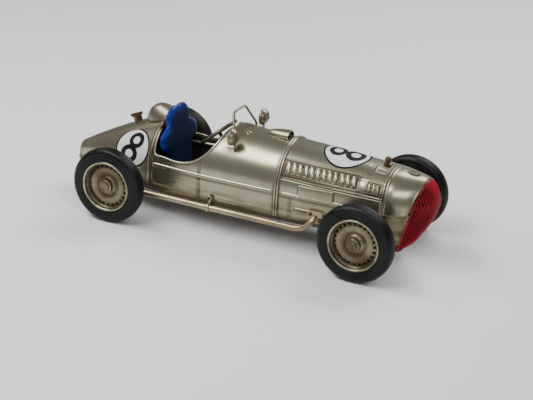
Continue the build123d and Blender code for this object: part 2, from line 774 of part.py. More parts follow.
with BuildPart() as mirror_head:
    with BuildSketch(Plane.XY):
        with BuildLine():
            Polyline((-4.6, 0), (-4.6, 5.9), (-5.5, 5.9), (-5.5, 6.9), (-4.0, 6.9))
            Spline((-4.0, 6.9), (-0.8, 5.0), (1.2, 0), tangents=((0.7, -0.1), (0, -1)))
            Line((1.2, 0), (-4.6, 0))
        make_face()
    revolve(axis=Axis.X)
with BuildPart() as mirror_right:
    add(mirror_head.part.moved(Location((0, -28.1, 80.6))))
    add(rod((-1.8, -28.1, 78), (-1.8, -24.2, 66), 1.1))
    add(cockpit_outer, mode=Mode.SUBTRACT)
keep("mirror_right", mirror_right.part.solids().sort_by(Axis.Z)[-1])
keep("mirror_left", mirror(PIECES["mirror_right"], about=Plane.XZ))

with BuildPart(Plane(origin=(1.2, -9.1, 79.4), z_dir=(0, -0.27, 0.96))) as eyelet:
    Torus(1.7, 0.6)
keep("scuttle_eyelets", both_sides(biggest(seated(eyelet.part, cockpit_outer))))

# ---- Exhaust, along the right side ----
with BuildLine() as pipe_path:
    Line((-80, PIPE_Y, PIPE_Z), (57, PIPE_Y, PIPE_Z))
    Spline(
        (57, PIPE_Y, PIPE_Z),
        (66.0, PIPE_Y + 0.3, PIPE_Z + 2.6),
        (71.0, PIPE_Y + 2.4, PIPE_Z + 7.6),
        (72.0, PIPE_Y + 6.4, PIPE_Z + 10.4),
        tangents=((1, 0, 0), (0, 1, 0.2)),
    )
with BuildPart() as exhaust_flange:
    add(lofted(ENGINE, body_section, -2.0, FOOT_Z))
    add(slab(66, 78, 26.5, 36.8, -60, 0), mode=Mode.INTERSECT)
    fillet(exhaust_flange.edges().filter_by(Axis.Y), 2.5)
    add(engine_outer, mode=Mode.SUBTRACT)
    add(PIECES["side_panel_right"], mode=Mode.SUBTRACT)
keep("exhaust_flange", exhaust_flange.part.solids().sort_by(SortBy.VOLUME)[-1])

with BuildPart() as exhaust_pipe:
    add(wire(pipe_path.line, PIPE_R))
    add(rod((-81, PIPE_Y, PIPE_Z), (-62, PIPE_Y, PIPE_Z), PIPE_R - 0.7), mode=Mode.SUBTRACT)
    add(exhaust_flange.part, mode=Mode.SUBTRACT)
    add(engine_outer, mode=Mode.SUBTRACT)
keep("exhaust_pipe", exhaust_pipe.part.solids().sort_by(SortBy.VOLUME)[-1])

with BuildPart() as exhaust_clamp:
    add(rod((-20, PIPE_Y, PIPE_Z), (-16, PIPE_Y, PIPE_Z), PIPE_R + 0.9))
    add(slab(-20, -16, 23, 31, -36.2, -34.2))
    add(rod((-21, PIPE_Y, PIPE_Z), (-15, PIPE_Y, PIPE_Z), PIPE_R), mode=Mode.SUBTRACT)
    add(cockpit_outer, mode=Mode.SUBTRACT)
keep("exhaust_clamp", exhaust_clamp.part.solids().sort_by(SortBy.VOLUME)[-1])

with BuildPart() as exhaust_screws:
    for x, z, y in ((-18, 28.4, -36.2), (68.4, 33.6, -33.0), (76.2, 29.4, -33.0)):
        add(rod((x, y, z), (x, y - 1.6, z), 1.5))
    add(exhaust_flange.part, mode=Mode.SUBTRACT)
    add(exhaust_clamp.part, mode=Mode.SUBTRACT)
    add(exhaust_pipe.part, mode=Mode.SUBTRACT)
keep("exhaust_screws", exhaust_screws.part)

# ---- Axles and wheels ----
with BuildPart() as wheel:
    with BuildSketch(Plane.YZ):
        with BuildLine():
            Polyline(
                (55.2, RIM_R - TOUCH),
                (65.4, RIM_R - TOUCH),
                (65.4, 19.2),
                (64.2, 18.6),
                (62.6, 18.3),
                (62.6, 9.8),
                (61.2, 8.6),
                (61.2, 5.8),
                (66.2, 5.4),
                (66.2, AXLE_R + TOUCH),
                (56.0, AXLE_R + TOUCH),
                (56.0, 5.2),
                (59.8, 5.2),
                (59.8, 9.0),
                (61.2, 10.4),
                (61.2, 18.6),
                (59.8, 19.3),
                (55.2, 19.3),
                close=True,
            )
        make_face()
    revolve(axis=Axis.Y)
    with BuildSketch(Plane.XZ.offset(-70)):
        with PolarLocations(15.7, 24):
            Circle(1.15)
    extrude(amount=12, mode=Mode.SUBTRACT)

with BuildPart() as tyre:
    with BuildSketch(Plane.YZ):
        with BuildLine():
            Polyline((65.9, 22.0), (65.9, RIM_R), (54.9, RIM_R), (54.9, 22.0))
            Spline(
                (54.9, 22.0),
                (54.2, 25.0),
                (55.0, 28.6),
                (57.4, 30.6),
                (60.4, WHEEL_R),
                (63.4, 30.6),
                (65.8, 28.6),
                (TYRE_FACE_Y, 25.0),
                (65.9, 22.0),
            )
        make_face()
    revolve(axis=Axis.Y)

with BuildPart() as hub_cap:
    with BuildSketch(Plane.XZ.offset(-66.2 - TOUCH)):
        Circle(5.2)
    extrude(amount=-1.4)
    with BuildSketch(Plane.XZ.offset(-66.2 - TOUCH)):
        RegularPolygon(3.4, 6)
    extrude(amount=-3.0)
    fillet(hub_cap.edges().group_by(Axis.Y)[-1], 0.6)

for end, x in (("rear", REAR_AXLE_X), ("front", FRONT_AXLE_X)):
    place = Location((x, 0, WHEEL_R))
    keep(f"{end}_axle", rod((x, -66.15, WHEEL_R), (x, 66.15, WHEEL_R), AXLE_R))
    keep(f"tyre_{end}_left", tyre.part.moved(place))
    keep(f"tyre_{end}_right", mirror(tyre.part.moved(place), about=Plane.XZ))
    keep(f"wheel_{end}_left", wheel.part.moved(place))
    keep(f"wheel_{end}_right", mirror(wheel.part.moved(place), about=Plane.XZ))
    keep(f"hub_caps_{end}", both_sides(hub_cap.part.moved(place)))


# ---- Friction motor, inside the tail ----
def gear(teeth, width, bore, turn):
    """A spur gear about the Z axis. At turn 0 one tooth points along +X."""
    pressure = math.radians(25)
    pitch_r = GEAR_MODULE * teeth / 2
    base_r = pitch_r * math.cos(pressure)
    tip_r, root_r = pitch_r + 0.8 * GEAR_MODULE, pitch_r - 1.25 * GEAR_MODULE
    half_tooth = math.pi / (2 * teeth) - 0.08 / pitch_r + math.tan(pressure) - pressure
    flank = []
    for n in range(6):
        r = max(base_r, root_r + 0.05) + (tip_r - max(base_r, root_r + 0.05)) * n / 5
        a = math.acos(base_r / r)
        flank.append((r, half_tooth - (math.tan(a) - a)))
    flank.insert(0, (root_r, flank[0][1]))
    points = []
    for k in range(teeth):
        centre = turn + 2 * math.pi * k / teeth
        for r, a in flank:
            points.append((r * math.cos(centre - a), r * math.sin(centre - a)))
        for r, a in reversed(flank):
            points.append((r * math.cos(centre + a), r * math.sin(centre + a)))
    with BuildPart() as wheel_blank:
        with BuildSketch():
            with BuildLine():
                Polyline(*points, close=True)
            make_face()
            if bore:
                Circle(bore, mode=Mode.SUBTRACT)
        extrude(amount=width)
    return wheel_blank.part


def across(part, x, y, z):
    """Turns a piece made about Z so that its axis runs across the car, in the +Y direction."""
    return part.moved(Location(Plane(origin=(x, y, z), x_dir=(1, 0, 0), z_dir=(0, 1, 0))))


first_centres = GEAR_MODULE * (DRIVE_TEETH + PINION_TEETH) / 2
second_centres = GEAR_MODULE * (IDLER_TEETH + PINION_TEETH) / 2
idler_x = REAR_AXLE_X - math.sqrt(first_centres**2 - (IDLER_Z - WHEEL_R) ** 2)
flywheel_x = idler_x - math.sqrt(second_centres**2 - (IDLER_Z - FLYWHEEL_Z) ** 2)
# In the gears' own frame x is forward and y is downward, so heights change sign
to_idler = math.atan2(WHEEL_R - IDLER_Z, idler_x - REAR_AXLE_X)
to_flywheel = math.atan2(IDLER_Z - FLYWHEEL_Z, flywheel_x - idler_x)
half_pitch = math.pi / PINION_TEETH

keep("drive_gear", across(gear(DRIVE_TEETH, 4, AXLE_R + TOUCH, to_idler), REAR_AXLE_X, -6, WHEEL_R))
idler_pinion = gear(PINION_TEETH, 6, 0, to_idler + math.pi + half_pitch)
idler_wheel = gear(IDLER_TEETH, 3, 0, to_flywheel)
with BuildPart() as idler_cluster:
    add(across(idler_pinion, idler_x, -6.4, IDLER_Z))
    add(across(idler_wheel, idler_x, -0.4, IDLER_Z))
    add(rod((idler_x, -20, IDLER_Z), (idler_x, 20, IDLER_Z), SHAFT_R + TOUCH), mode=Mode.SUBTRACT)
keep("idler_cluster", idler_cluster.part)
keep("idler_shaft", rod((idler_x, -10.6, IDLER_Z), (idler_x, 10.6, IDLER_Z), SHAFT_R))

flywheel_pinion = gear(PINION_TEETH, 4, 0, to_flywheel + math.pi + half_pitch)
with BuildPart() as flywheel_shaft:
    add(rod((flywheel_x, -10.6, FLYWHEEL_Z), (flywheel_x, 10.6, FLYWHEEL_Z), SHAFT_R))
    add(across(flywheel_pinion, flywheel_x, -0.9, FLYWHEEL_Z))
keep("flywheel_shaft", flywheel_shaft.part)
with BuildPart() as flywheel:
    add(rod((flywheel_x, 3.6, FLYWHEEL_Z), (flywheel_x, 8.0, FLYWHEEL_Z), FLYWHEEL_R))
    add(rod((flywheel_x, 3, FLYWHEEL_Z), (flywheel_x, 9, FLYWHEEL_Z), SHAFT_R + TOUCH), mode=Mode.SUBTRACT)
keep("flywheel", flywheel.part)

SPACERS = [(-133.0, 25.6), (-85.5, 40.0), (-111.5, 24.6)]
with BuildPart() as motor_plate:
    with BuildSketch(Plane.XZ.offset(-9)):
        with BuildLine():
            Polyline(
                (-136, BELLY_Z + SHEET),
                (-83, BELLY_Z + SHEET),
                (-83, 44),
                (-112, 46),
                (-130, 44),
                (-136, 38),
                close=True,
            )
        make_face()
        with Locations((REAR_AXLE_X, WHEEL_R)):
            Circle(AXLE_R + FIT, mode=Mode.SUBTRACT)
        with Locations((idler_x, IDLER_Z), (flywheel_x, FLYWHEEL_Z)):
            Circle(SHAFT_R + FIT, mode=Mode.SUBTRACT)
        with Locations(*SPACERS):
            Circle(1.1 + TOUCH, mode=Mode.SUBTRACT)
    extrude(amount=-PLATE)
keep("motor_plates", both_sides(motor_plate.part))
with BuildPart() as motor_spacers:
    for x, z in SPACERS:
        add(rod((x, -8.98, z), (x, 8.98, z), 1.7))
        add(rod((x, -10.6, z), (x, 10.6, z), 1.1))
keep("motor_spacers", motor_spacers.part)

os.makedirs("parts", exist_ok=True)
for name, part in PIECES.items():
    export_step(part, f"parts/{name}.step")
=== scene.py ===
"""The looks of a pressed-tin friction racing car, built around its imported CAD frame.

Shapes are worked out in millimetres, in the car's own frame (+X to the nose, +Z up), and
scaled to metres as each mesh is made.
"""

import json
import math

import bmesh
import bpy
import numpy as np
from mathutils import Matrix, Vector


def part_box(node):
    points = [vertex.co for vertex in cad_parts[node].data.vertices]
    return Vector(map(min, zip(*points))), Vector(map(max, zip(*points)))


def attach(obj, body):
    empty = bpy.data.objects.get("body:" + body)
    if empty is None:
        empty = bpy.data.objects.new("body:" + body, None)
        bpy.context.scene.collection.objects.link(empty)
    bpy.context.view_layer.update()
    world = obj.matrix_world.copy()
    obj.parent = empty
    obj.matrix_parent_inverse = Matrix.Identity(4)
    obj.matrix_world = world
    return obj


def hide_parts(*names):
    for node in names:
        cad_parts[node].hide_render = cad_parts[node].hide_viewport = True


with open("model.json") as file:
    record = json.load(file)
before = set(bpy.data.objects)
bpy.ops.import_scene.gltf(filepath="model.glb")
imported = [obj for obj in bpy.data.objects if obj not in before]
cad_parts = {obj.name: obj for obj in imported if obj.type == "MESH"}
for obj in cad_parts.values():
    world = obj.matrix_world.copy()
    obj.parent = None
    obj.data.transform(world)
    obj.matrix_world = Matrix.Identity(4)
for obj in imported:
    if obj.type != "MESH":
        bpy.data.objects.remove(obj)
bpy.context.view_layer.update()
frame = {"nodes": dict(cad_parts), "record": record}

MM = 0.001
RIDGE_Z, FOOT_Z = 44.5, 25.0  # heights of the flanks' widest line and of the body's lower edge
TAIL_END, TAIL_SEAM, PANEL_SEAM, STRAP_X, NOSE_SEAM = -161, -74.0, -29.5, 36.0, 124.0
STRAP_W, SHEET, TYRE_W = 4.0, 0.8, 12.4
HINGE_REAR, HINGE_FRONT = 57.0, 54.5  # height of the bonnet's lower edge at its two ends
REAR_AXLE, FRONT_AXLE, WHEEL_R = -96.5, 117.4, 31.0
BADGE_X = 138
RAKE, FACE_X, FACE_Z = math.radians(16.7), 147.0, 57.5  # the grille's leaning plane
SIDES = (("right", -1), ("left", 1))
rng = np.random.default_rng(8)


# ---- curves and sections
def curve_through(xs, ys):
    """A smooth curve through rows of values: piecewise cubic, with slopes from the neighbours."""
    xs, ys = np.asarray(xs, float), np.asarray(ys, float)
    slopes = np.gradient(ys, xs, axis=0)

    def at(x):
        x = np.clip(np.asarray(x, float), xs[0], xs[-1])
        i = np.clip(np.searchsorted(xs, x) - 1, 0, len(xs) - 2)
        h = xs[i + 1] - xs[i]
        t = (x - xs[i]) / h
        if ys.ndim > 1:
            h, t = h[..., None], t[..., None]
        a, b = ys[i], ys[i + 1]
        return (
            a * (2 * t**3 - 3 * t**2 + 1)
            + slopes[i] * h * (t**3 - 2 * t**2 + t)
            + b * (3 * t**2 - 2 * t**3)
            + slopes[i + 1] * h * (t**3 - t**2)
        )

    return at


def smoothstep(low, high, x):
    t = np.clip((x - low) / (high - low), 0, 1)
    return t * t * (3 - 2 * t)


def bump_line(d, half):
    """A half-round raised line: 1 on its centre line, 0 beyond its half width."""
    return np.sqrt(np.clip(1 - (d / half) ** 2, 0, 1))


def near(d, width):
    """1 on a line, fading to 0 away from it."""
    return np.exp(-((d / width) ** 2))


# x, top, half width at the ridge, half width at the foot, power of the arch
BODY_ROWS = [
    (-74, 77.0, 32.0, 32.0, 2.0),
    (-40, 80.0, 34.3, 34.0, 2.0),
    (-12, 80.6, 34.4, 34.2, 2.0),
    (12, 80.0, 33.9, 33.8, 2.0),
    (36, 79.0, 33.0, 33.0, 2.0),
    (80, 76.6, 31.0, 29.8, 2.1),
    (124, 72.8, 27.6, 17.5, 2.35),
]
NOSE_ROWS = [
    (124, 72.8, 27.6, 27.0, 2.35),
    (130, 72.4, 27.0, 26.4, 2.33),
    (136, 71.6, 25.2, 24.4, 2.3),
    (142, 70.9, 22.9, 22.0, 2.25),
    (147, 70.2, 19.9, 18.9, 2.2),
    (152, 68.9, 16.4, 15.4, 2.15),
]
# x, top, crease y, crease z, half width, ridge z, half width at the foot
TAIL_ROWS = [
    (-161, 33.5, 2.0, 31.5, 2.8, 28.5, 2.6),
    (-158, 37.0, 4.0, 34.0, 5.4, 30.5, 5.0),
    (-150, 42.4, 6.5, 38.5, 9.6, 33.5, 9.0),
    (-132, 52.4, 10.2, 47.6, 16.8, 37.5, 16.0),
    (-112, 62.4, 12.8, 57.0, 23.4, 41.0, 22.8),
    (-92, 70.9, 14.0, 65.2, 28.6, 43.5, 28.3),
    (-74, 77.5, 14.3, 72.0, 32.0, 44.5, 32.0),
]


def stations(rows):
    table = np.array(rows, float)
    return curve_through(table[:, 0], table[:, 1:])


body_at, nose_at, tail_at = stations(BODY_ROWS), stations(NOSE_ROWS), stations(TAIL_ROWS)
SIDE_SHARE = 0.27  # how much of a section's girth is the flat side below the ridge


def arch_surface(at, foot_z=FOOT_Z):
    """A surface of x and v: v runs from the foot (0) up over the ridge to the crown (1)."""

    def surface(x, v, side):
        top, half, foot, power = np.moveaxis(at(x), -1, 0)
        low = np.clip(v / SIDE_SHARE, 0, 1)
        a = np.clip((v - SIDE_SHARE) / (1 - SIDE_SHARE), 0, 1) * math.pi / 2
        y = half * np.clip(np.cos(a), 0, 1) ** (2 / power)
        z = RIDGE_Z + (top - RIDGE_Z) * np.clip(np.sin(a), 0, 1) ** (2 / power)
        below = v < SIDE_SHARE
        y = np.where(below, foot + (half - foot) * low, y)
        z = np.where(below, foot_z + (RIDGE_Z - foot_z) * low, z)
        return np.stack([x + 0 * v, side * y, z], -1)

    return surface


def tail_surface(x, v, side):
    """The tail: flat foot, rounded flank, then a concave crease and the raised spine."""
    top, crease_y, crease_z, half, ridge, foot = np.moveaxis(tail_at(x), -1, 0)
    share_low, share_flank = 0.22, 0.72
    low = np.clip(v / share_low, 0, 1)
    crease_a = np.arccos(np.clip(crease_y / half, 0, 1))
    rise = (crease_z - ridge) / np.sin(crease_a)
    a = np.clip((v - share_low) / (share_flank - share_low), 0, 1) * crease_a
    hump = np.clip((1 - v) / (1 - share_flank), 0, 1)
    y = np.where(v < share_flank, half * np.cos(a), crease_y * hump)
    z = np.where(
        v < share_flank, ridge + rise * np.sin(a), top - (top - crease_z) * hump**2.3
    )
    y = np.where(v < share_low, foot + (half - foot) * low, y)
    z = np.where(v < share_low, FOOT_Z + (ridge - FOOT_Z) * low, z)
    shrink = np.sqrt(np.clip(1 - (np.clip(-157.5 - x, 0, 3.5) / 3.5) ** 2, 0, 1))
    return np.stack([x + 0 * v, side * y * shrink, 28 + (z - 28) * shrink], -1)


body_surface = arch_surface(body_at)


# ---- mesh building
def in_scene(name, data):
    obj = bpy.data.objects.new(name, data)
    bpy.context.scene.collection.objects.link(obj)
    return obj


def make_object(name, verts, faces, smooth=True):
    """A mesh object from points in millimetres."""
    mesh = bpy.data.meshes.new(name)
    mesh.from_pydata((np.asarray(verts, float) * MM).tolist(), [], [list(f) for f in faces])
    mesh.validate()
    if smooth:
        mesh.shade_smooth()
    return in_scene(name, mesh)


def grid_faces(rows, cols, wrap_rows=False, wrap_cols=False, flip=False):
    i, j = np.meshgrid(
        np.arange(rows if wrap_rows else rows - 1),
        np.arange(cols if wrap_cols else cols - 1),
        indexing="ij",
    )
    i, j = i.ravel(), j.ravel()
    i2, j2 = (i + 1) % rows, (j + 1) % cols
    quads = np.stack([i * cols + j, i2 * cols + j, i2 * cols + j2, i * cols + j2], 1)
    return quads[:, ::-1] if flip else quads


def grid_mesh(name, points, **how):
    """A mesh from a grid of points. How it closes or turns is grid_faces's to say."""
    return make_object(name, points.reshape(-1, 3), grid_faces(*points.shape[:2], **how))


def normals_of(points):
    """Unit normals of a grid of points."""
    du, dv = np.gradient(points, axis=0), np.gradient(points, axis=1)
    n = np.cross(du, dv)
    return n / np.maximum(np.linalg.norm(n, axis=-1, keepdims=True), 1e-12)


def set_grime_and_shade(obj, values):
    """How dark each point is painted, from 0 to 1, for the materials to read: dirt in seams and hollows,
    and painted shade in some places.
    """
    layer = obj.data.attributes.new("grime_and_shade", "FLOAT", "POINT")
    layer.data.foreach_set("value", np.asarray(values, np.float32).ravel())


def apply_modifiers(obj):
    """Turns a piece's modifiers into plain mesh."""
    depsgraph = bpy.context.evaluated_depsgraph_get()
    mesh = bpy.data.meshes.new_from_object(
        obj.evaluated_get(depsgraph), preserve_all_data_layers=True, depsgraph=depsgraph
    )
    old = obj.data
    obj.modifiers.clear()
    obj.data = mesh
    bpy.data.meshes.remove(old)
    return obj


def thicken(obj, thickness, offset=-1.0, inner=None):
    """Gives an open sheet its thickness, inwards by default, with its own material inside."""
    solid = obj.modifiers.new("sheet", "SOLIDIFY")
    if inner:
        obj.data.materials.clear()
        for material in inner:
            obj.data.materials.append(material)
        solid.material_offset = 1
    solid.thickness = thickness * MM
    solid.offset = offset
    return apply_modifiers(obj)


def bevel(obj, width):
    edge = obj.modifiers.new("edge", "BEVEL")
    edge.width = width * MM
    edge.segments = 2
    edge.limit_method = "ANGLE"
    edge.angle_limit = math.radians(35)
    return apply_modifiers(obj)


def mend(obj, merge=0.0, outward=True):
    """Merges points closer than a distance in metres, then turns the faces outwards."""
    bm = bmesh.new()
    bm.from_mesh(obj.data)
    if merge:
        bmesh.ops.remove_doubles(bm, verts=bm.verts, dist=merge)
    if outward:
        bmesh.ops.recalc_face_normals(bm, faces=bm.faces)
    bm.to_mesh(obj.data)
    bm.free()
    obj.data.shade_smooth()
    return obj


def join(name, objects):
    """Joins meshes into one piece, keeping their materials and attributes."""
    bm = bmesh.new()
    materials, slots = [], {}
    for o in objects:
        remap = {}
        for i, m in enumerate(o.data.materials):
            if m not in slots:
                slots[m] = len(materials)
                materials.append(m)
            remap[i] = slots[m]
        start = len(bm.faces)
        o.data.transform(o.matrix_world)
        bm.from_mesh(o.data)
        bm.faces.ensure_lookup_table()
        for f in bm.faces[start:]:
            f.material_index = remap.get(f.material_index, 0)
    mesh = bpy.data.meshes.new(name)
    bm.to_mesh(mesh)
    bm.free()
    for m in materials:
        mesh.materials.append(m)
    for o in objects:
        bpy.data.objects.remove(o)
    return in_scene(name, mesh)


def lathe(name, profile, segments=96):
    """A surface of revolution about the Y axis. The profile's rows are (y, radius)."""
    profile = np.asarray(profile, float)
    a = np.linspace(0, 2 * math.pi, segments, endpoint=False)
    y = np.repeat(profile[:, 0][None], segments, 0)
    r = profile[:, 1][None]
    points = np.stack([r * np.cos(a)[:, None], y, r * np.sin(a)[:, None]], -1)
    return mend(grid_mesh(name, points, wrap_rows=True), 1e-6)


def frames_along(path):
    """Directions across a path that turn with it as little as they can."""
    tangent = np.gradient(path, axis=0)
    tangent /= np.linalg.norm(tangent, axis=1, keepdims=True)
    side = np.cross(tangent[0], [0, 0, 1.0])
    if np.linalg.norm(side) < 0.1:
        side = np.cross(tangent[0], [0, 1.0, 0])
    sides = []
    for t in tangent:
        side = side - t * np.dot(side, t)
        side /= np.linalg.norm(side)
        sides.append(side)
    sides = np.array(sides)
    return sides, np.cross(tangent, sides)


def tube(name, path, radius, segments=16, flat=1.0):
    """A round or flattened wire along an open path. radius may be one number or one per point."""
    path = np.asarray(path, float)
    u, w = frames_along(path)
    radius = np.broadcast_to(np.asarray(radius, float), (len(path),))
    a = np.linspace(0, 2 * math.pi, segments, endpoint=False)
    ring = u[:, None] * np.cos(a)[None, :, None] + w[:, None] * (flat * np.sin(a))[None, :, None]
    points = path[:, None] + radius[:, None, None] * ring
    faces = grid_faces(len(path), segments, wrap_cols=True).tolist()
    last = (len(path) - 1) * segments
    faces.append(list(range(segments)))
    faces.append([last + k for k in reversed(range(segments))])
    return mend(make_object(name, points.reshape(-1, 3), faces))


def resample(points, count, closed=False):
    """Evenly spaced points along a smooth curve through the given ones."""
    points = np.asarray(points, float)
    if closed:
        points = np.vstack([points[-2:], points, points[:3]])
    steps = np.r_[0, np.cumsum(np.linalg.norm(np.diff(points, axis=0), axis=1))]
    smooth = curve_through(steps, points)
    lo, hi = (steps[2], steps[-3]) if closed else (steps[0], steps[-1])
    fine = smooth(np.linspace(lo, hi, count * 8 + 1))
    run = np.r_[0, np.cumsum(np.linalg.norm(np.diff(fine, axis=0), axis=1))]
    want = np.linspace(0, run[-1], count, endpoint=not closed)
    return np.stack([np.interp(want, run, fine[:, k]) for k in range(points.shape[1])], 1)


def place(obj, x, y, z, mirror=False):
    """Moves a mesh's own points, in millimetres, so that its object stays at the origin."""
    m = Matrix.Translation(Vector((x, y, z)) * MM)
    if mirror:
        m = Matrix.Scale(-1, 4, Vector((0, 1, 0))) @ m
    obj.data.transform(m)
    if mirror:
        obj.data.flip_normals()


def facing_x(obj):
    """Turns a lathed mesh so that its axis runs along X."""
    obj.data.transform(Matrix.Rotation(-math.pi / 2, 4, "Z"))
    return obj


def copy_of(obj, name):
    twin = obj.copy()
    twin.data = obj.data.copy()
    twin.name = twin.data.name = name
    bpy.context.scene.collection.objects.link(twin)
    return twin


def done(obj, body, slot, material, *nodes):
    """A finished piece: its look, the body that it moves with and the CAD nodes that it shows."""
    if material is not None:
        obj.data.materials.clear()
        obj.data.materials.append(material)
    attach(obj, body)
    if nodes:
        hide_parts(*nodes)
    return obj


# ---- materials
class Shader:
    """A procedural material, put together node by node."""

    def __init__(self, name):
        self.material = bpy.data.materials.new(name)
        self.material.use_nodes = True
        self.tree = self.material.node_tree
        self.tree.nodes.clear()
        self.out = self.tree.nodes.new("ShaderNodeOutputMaterial")
        self.surface = self.node("ShaderNodeBsdfPrincipled")
        self.tree.links.new(self.surface.outputs[0], self.out.inputs["Surface"])
        self.where = self.node("ShaderNodeTexCoord").outputs["Object"]

    def node(self, kind, **settings):
        n = self.tree.nodes.new(kind)
        for key, value in settings.items():
            setattr(n, key, value)
        return n

    def put(self, socket, value):
        if isinstance(value, bpy.types.NodeSocket):
            self.tree.links.new(value, socket)
        else:
            socket.default_value = value

    def set(self, **values):
        names = {"color": "Base Color", "metallic": "Metallic", "roughness": "Roughness",
                 "coat": "Coat Weight", "coat_roughness": "Coat Roughness",
                 "specular": "Specular IOR Level", "normal": "Normal"}
        for key, value in values.items():
            self.put(self.surface.inputs[names[key]], value)

    def math(self, operation, a, b=0.0, clamp=False):
        n = self.node("ShaderNodeMath", operation=operation, use_clamp=clamp)
        self.put(n.inputs[0], a)
        self.put(n.inputs[1], b)
        return n.outputs[0]

    def noise(self, scale, detail=4.0, roughness=0.55, where=None):
        n = self.node("ShaderNodeTexNoise")
        self.put(n.inputs["Vector"], where or self.where)
        n.inputs["Scale"].default_value = scale
        n.inputs["Detail"].default_value = detail
        n.inputs["Roughness"].default_value = roughness
        return n.outputs["Fac"]

    def span(self, value, low, high, to_low=0.0, to_high=1.0):
        n = self.node("ShaderNodeMapRange")
        n.interpolation_type = "SMOOTHSTEP"
        for key, v in (("Value", value), ("From Min", low), ("From Max", high),
                       ("To Min", to_low), ("To Max", to_high)):
            self.put(n.inputs[key], v)
        return n.outputs["Result"]

    def mix(self, factor, a, b):
        n = self.node("ShaderNodeMix", data_type="RGBA")
        self.put(n.inputs[0], factor)
        self.put(n.inputs[6], a)
        self.put(n.inputs[7], b)
        return n.outputs[2]

    def grime_and_shade(self):
        return self.node("ShaderNodeAttribute", attribute_name="grime_and_shade").outputs["Fac"]

    def stretched(self, x, y, z):
        n = self.node("ShaderNodeMapping")
        self.put(n.inputs["Vector"], self.where)
        n.inputs["Scale"].default_value = (x, y, z)
        return n.outputs[0]

    def height(self, value, depth, strength=1.0):
        n = self.node("ShaderNodeBump")
        n.inputs["Strength"].default_value = strength
        n.inputs["Distance"].default_value = depth
        self.put(n.inputs["Height"], value)
        return n.outputs["Normal"]


def rgb(r, g, b):
    return (r, g, b, 1.0)


def aged_metal(name, light, shade, stain, metallic, roughness, wear=1.0, low_z=0.034, cloud=22):
    """Lacquered, antiqued plate: cloudy tone, specks, brown dirt in its seams and hollows, painted shade
    where a mesh marks it, and browner below low_z.
    """
    s = Shader(name)
    clouds = s.noise(cloud, 3, 0.5)
    fine = s.noise(420, 4, 0.6)
    speck = s.noise(900, 2, 0.5)
    dents = s.noise(90, 1, 0.4)
    streak = s.noise(60, 3, 0.5, s.stretched(0.35, 1.0, 2.2))
    tone = s.mix(s.span(clouds, 0.3, 0.72), light, shade)
    height = s.node("ShaderNodeSeparateXYZ")
    s.put(height.inputs[0], s.where)
    low = s.span(height.outputs["Z"], low_z + 0.012, low_z - 0.006)
    # Dirt in seams and hollows, and painted shade, as each mesh's points mark them; then browner below
    # low_z.
    dirt_and_shade = s.math("MULTIPLY", s.grime_and_shade(), s.span(streak, 0.25, 0.62, 0.45, 1.15))
    dirt_and_shade = s.math("ADD", dirt_and_shade, s.math("MULTIPLY", low, s.span(streak, 0.42, 0.7, 0.0, 0.6)))
    dirt_and_shade = s.math("ADD", dirt_and_shade, s.math("MULTIPLY", s.span(speck, 0.68, 0.78), 0.12 * wear))
    dirt_and_shade = s.math("ADD", dirt_and_shade, s.math("MULTIPLY", s.span(fine, 0.58, 0.8), 0.06 * wear), clamp=True)
    rough = s.math("ADD", s.span(clouds, 0.3, 0.7, roughness - 0.03, roughness + 0.05),
                   s.math("MULTIPLY", dirt_and_shade, 0.25))
    s.set(
        color=s.mix(dirt_and_shade, tone, stain),
        metallic=s.span(dirt_and_shade, 0.2, 1.0, metallic, metallic * 0.45),
        roughness=rough,
        coat=0.12,
        coat_roughness=0.25,
        normal=s.height(s.math("ADD", s.math("MULTIPLY", clouds, 1.2), s.math("MULTIPLY", dents, 0.3)),
                        0.0005, 0.16),
    )
    return s.material


NICKEL = aged_metal("nickel", rgb(0.37, 0.348, 0.25), rgb(0.245, 0.222, 0.148),
                    rgb(0.06, 0.033, 0.013), 0.9, 0.26)
NICKEL_TRIM = aged_metal("nickel_trim", rgb(0.47, 0.44, 0.35), rgb(0.33, 0.30, 0.22),
                         rgb(0.07, 0.042, 0.02), 0.92, 0.26)
NICKEL_DARK = aged_metal("nickel_dark", rgb(0.27, 0.235, 0.165), rgb(0.17, 0.14, 0.09),
                         rgb(0.05, 0.03, 0.014), 0.85, 0.34)
CHIN = aged_metal("chin_gold", rgb(0.40, 0.35, 0.20), rgb(0.13, 0.09, 0.04), rgb(0.05, 0.03, 0.013),
                  0.88, 0.26, wear=2.0, cloud=110)
BASE = aged_metal("base_plate", rgb(0.16, 0.13, 0.09), rgb(0.10, 0.08, 0.055), rgb(0.04, 0.03, 0.02),
                  0.7, 0.45)
PIPE = aged_metal("pipe_gold", rgb(0.43, 0.37, 0.235), rgb(0.30, 0.24, 0.14), rgb(0.06, 0.037, 0.017),
                  0.88, 0.3, low_z=0.018)
BRASS = aged_metal("old_brass", rgb(0.12, 0.08, 0.037), rgb(0.065, 0.043, 0.022),
                   rgb(0.02, 0.013, 0.008), 0.88, 0.36)
WHEEL = aged_metal("wheel_nickel", rgb(0.25, 0.222, 0.15), rgb(0.105, 0.076, 0.04),
                   rgb(0.055, 0.032, 0.014), 0.88, 0.28, wear=2.2, low_z=-1.0, cloud=70)
GEAR = aged_metal("gear_brass", rgb(0.70, 0.52, 0.22), rgb(0.6, 0.43, 0.18), rgb(0.2, 0.12, 0.05),
                  1.0, 0.3)
STEEL = aged_metal("plain_steel", rgb(0.5, 0.5, 0.5), rgb(0.42, 0.41, 0.4), rgb(0.16, 0.1, 0.06),
                   1.0, 0.35)
IRON = aged_metal("cast_iron", rgb(0.2, 0.2, 0.2), rgb(0.15, 0.15, 0.15), rgb(0.1, 0.06, 0.04),
                  0.8, 0.6)


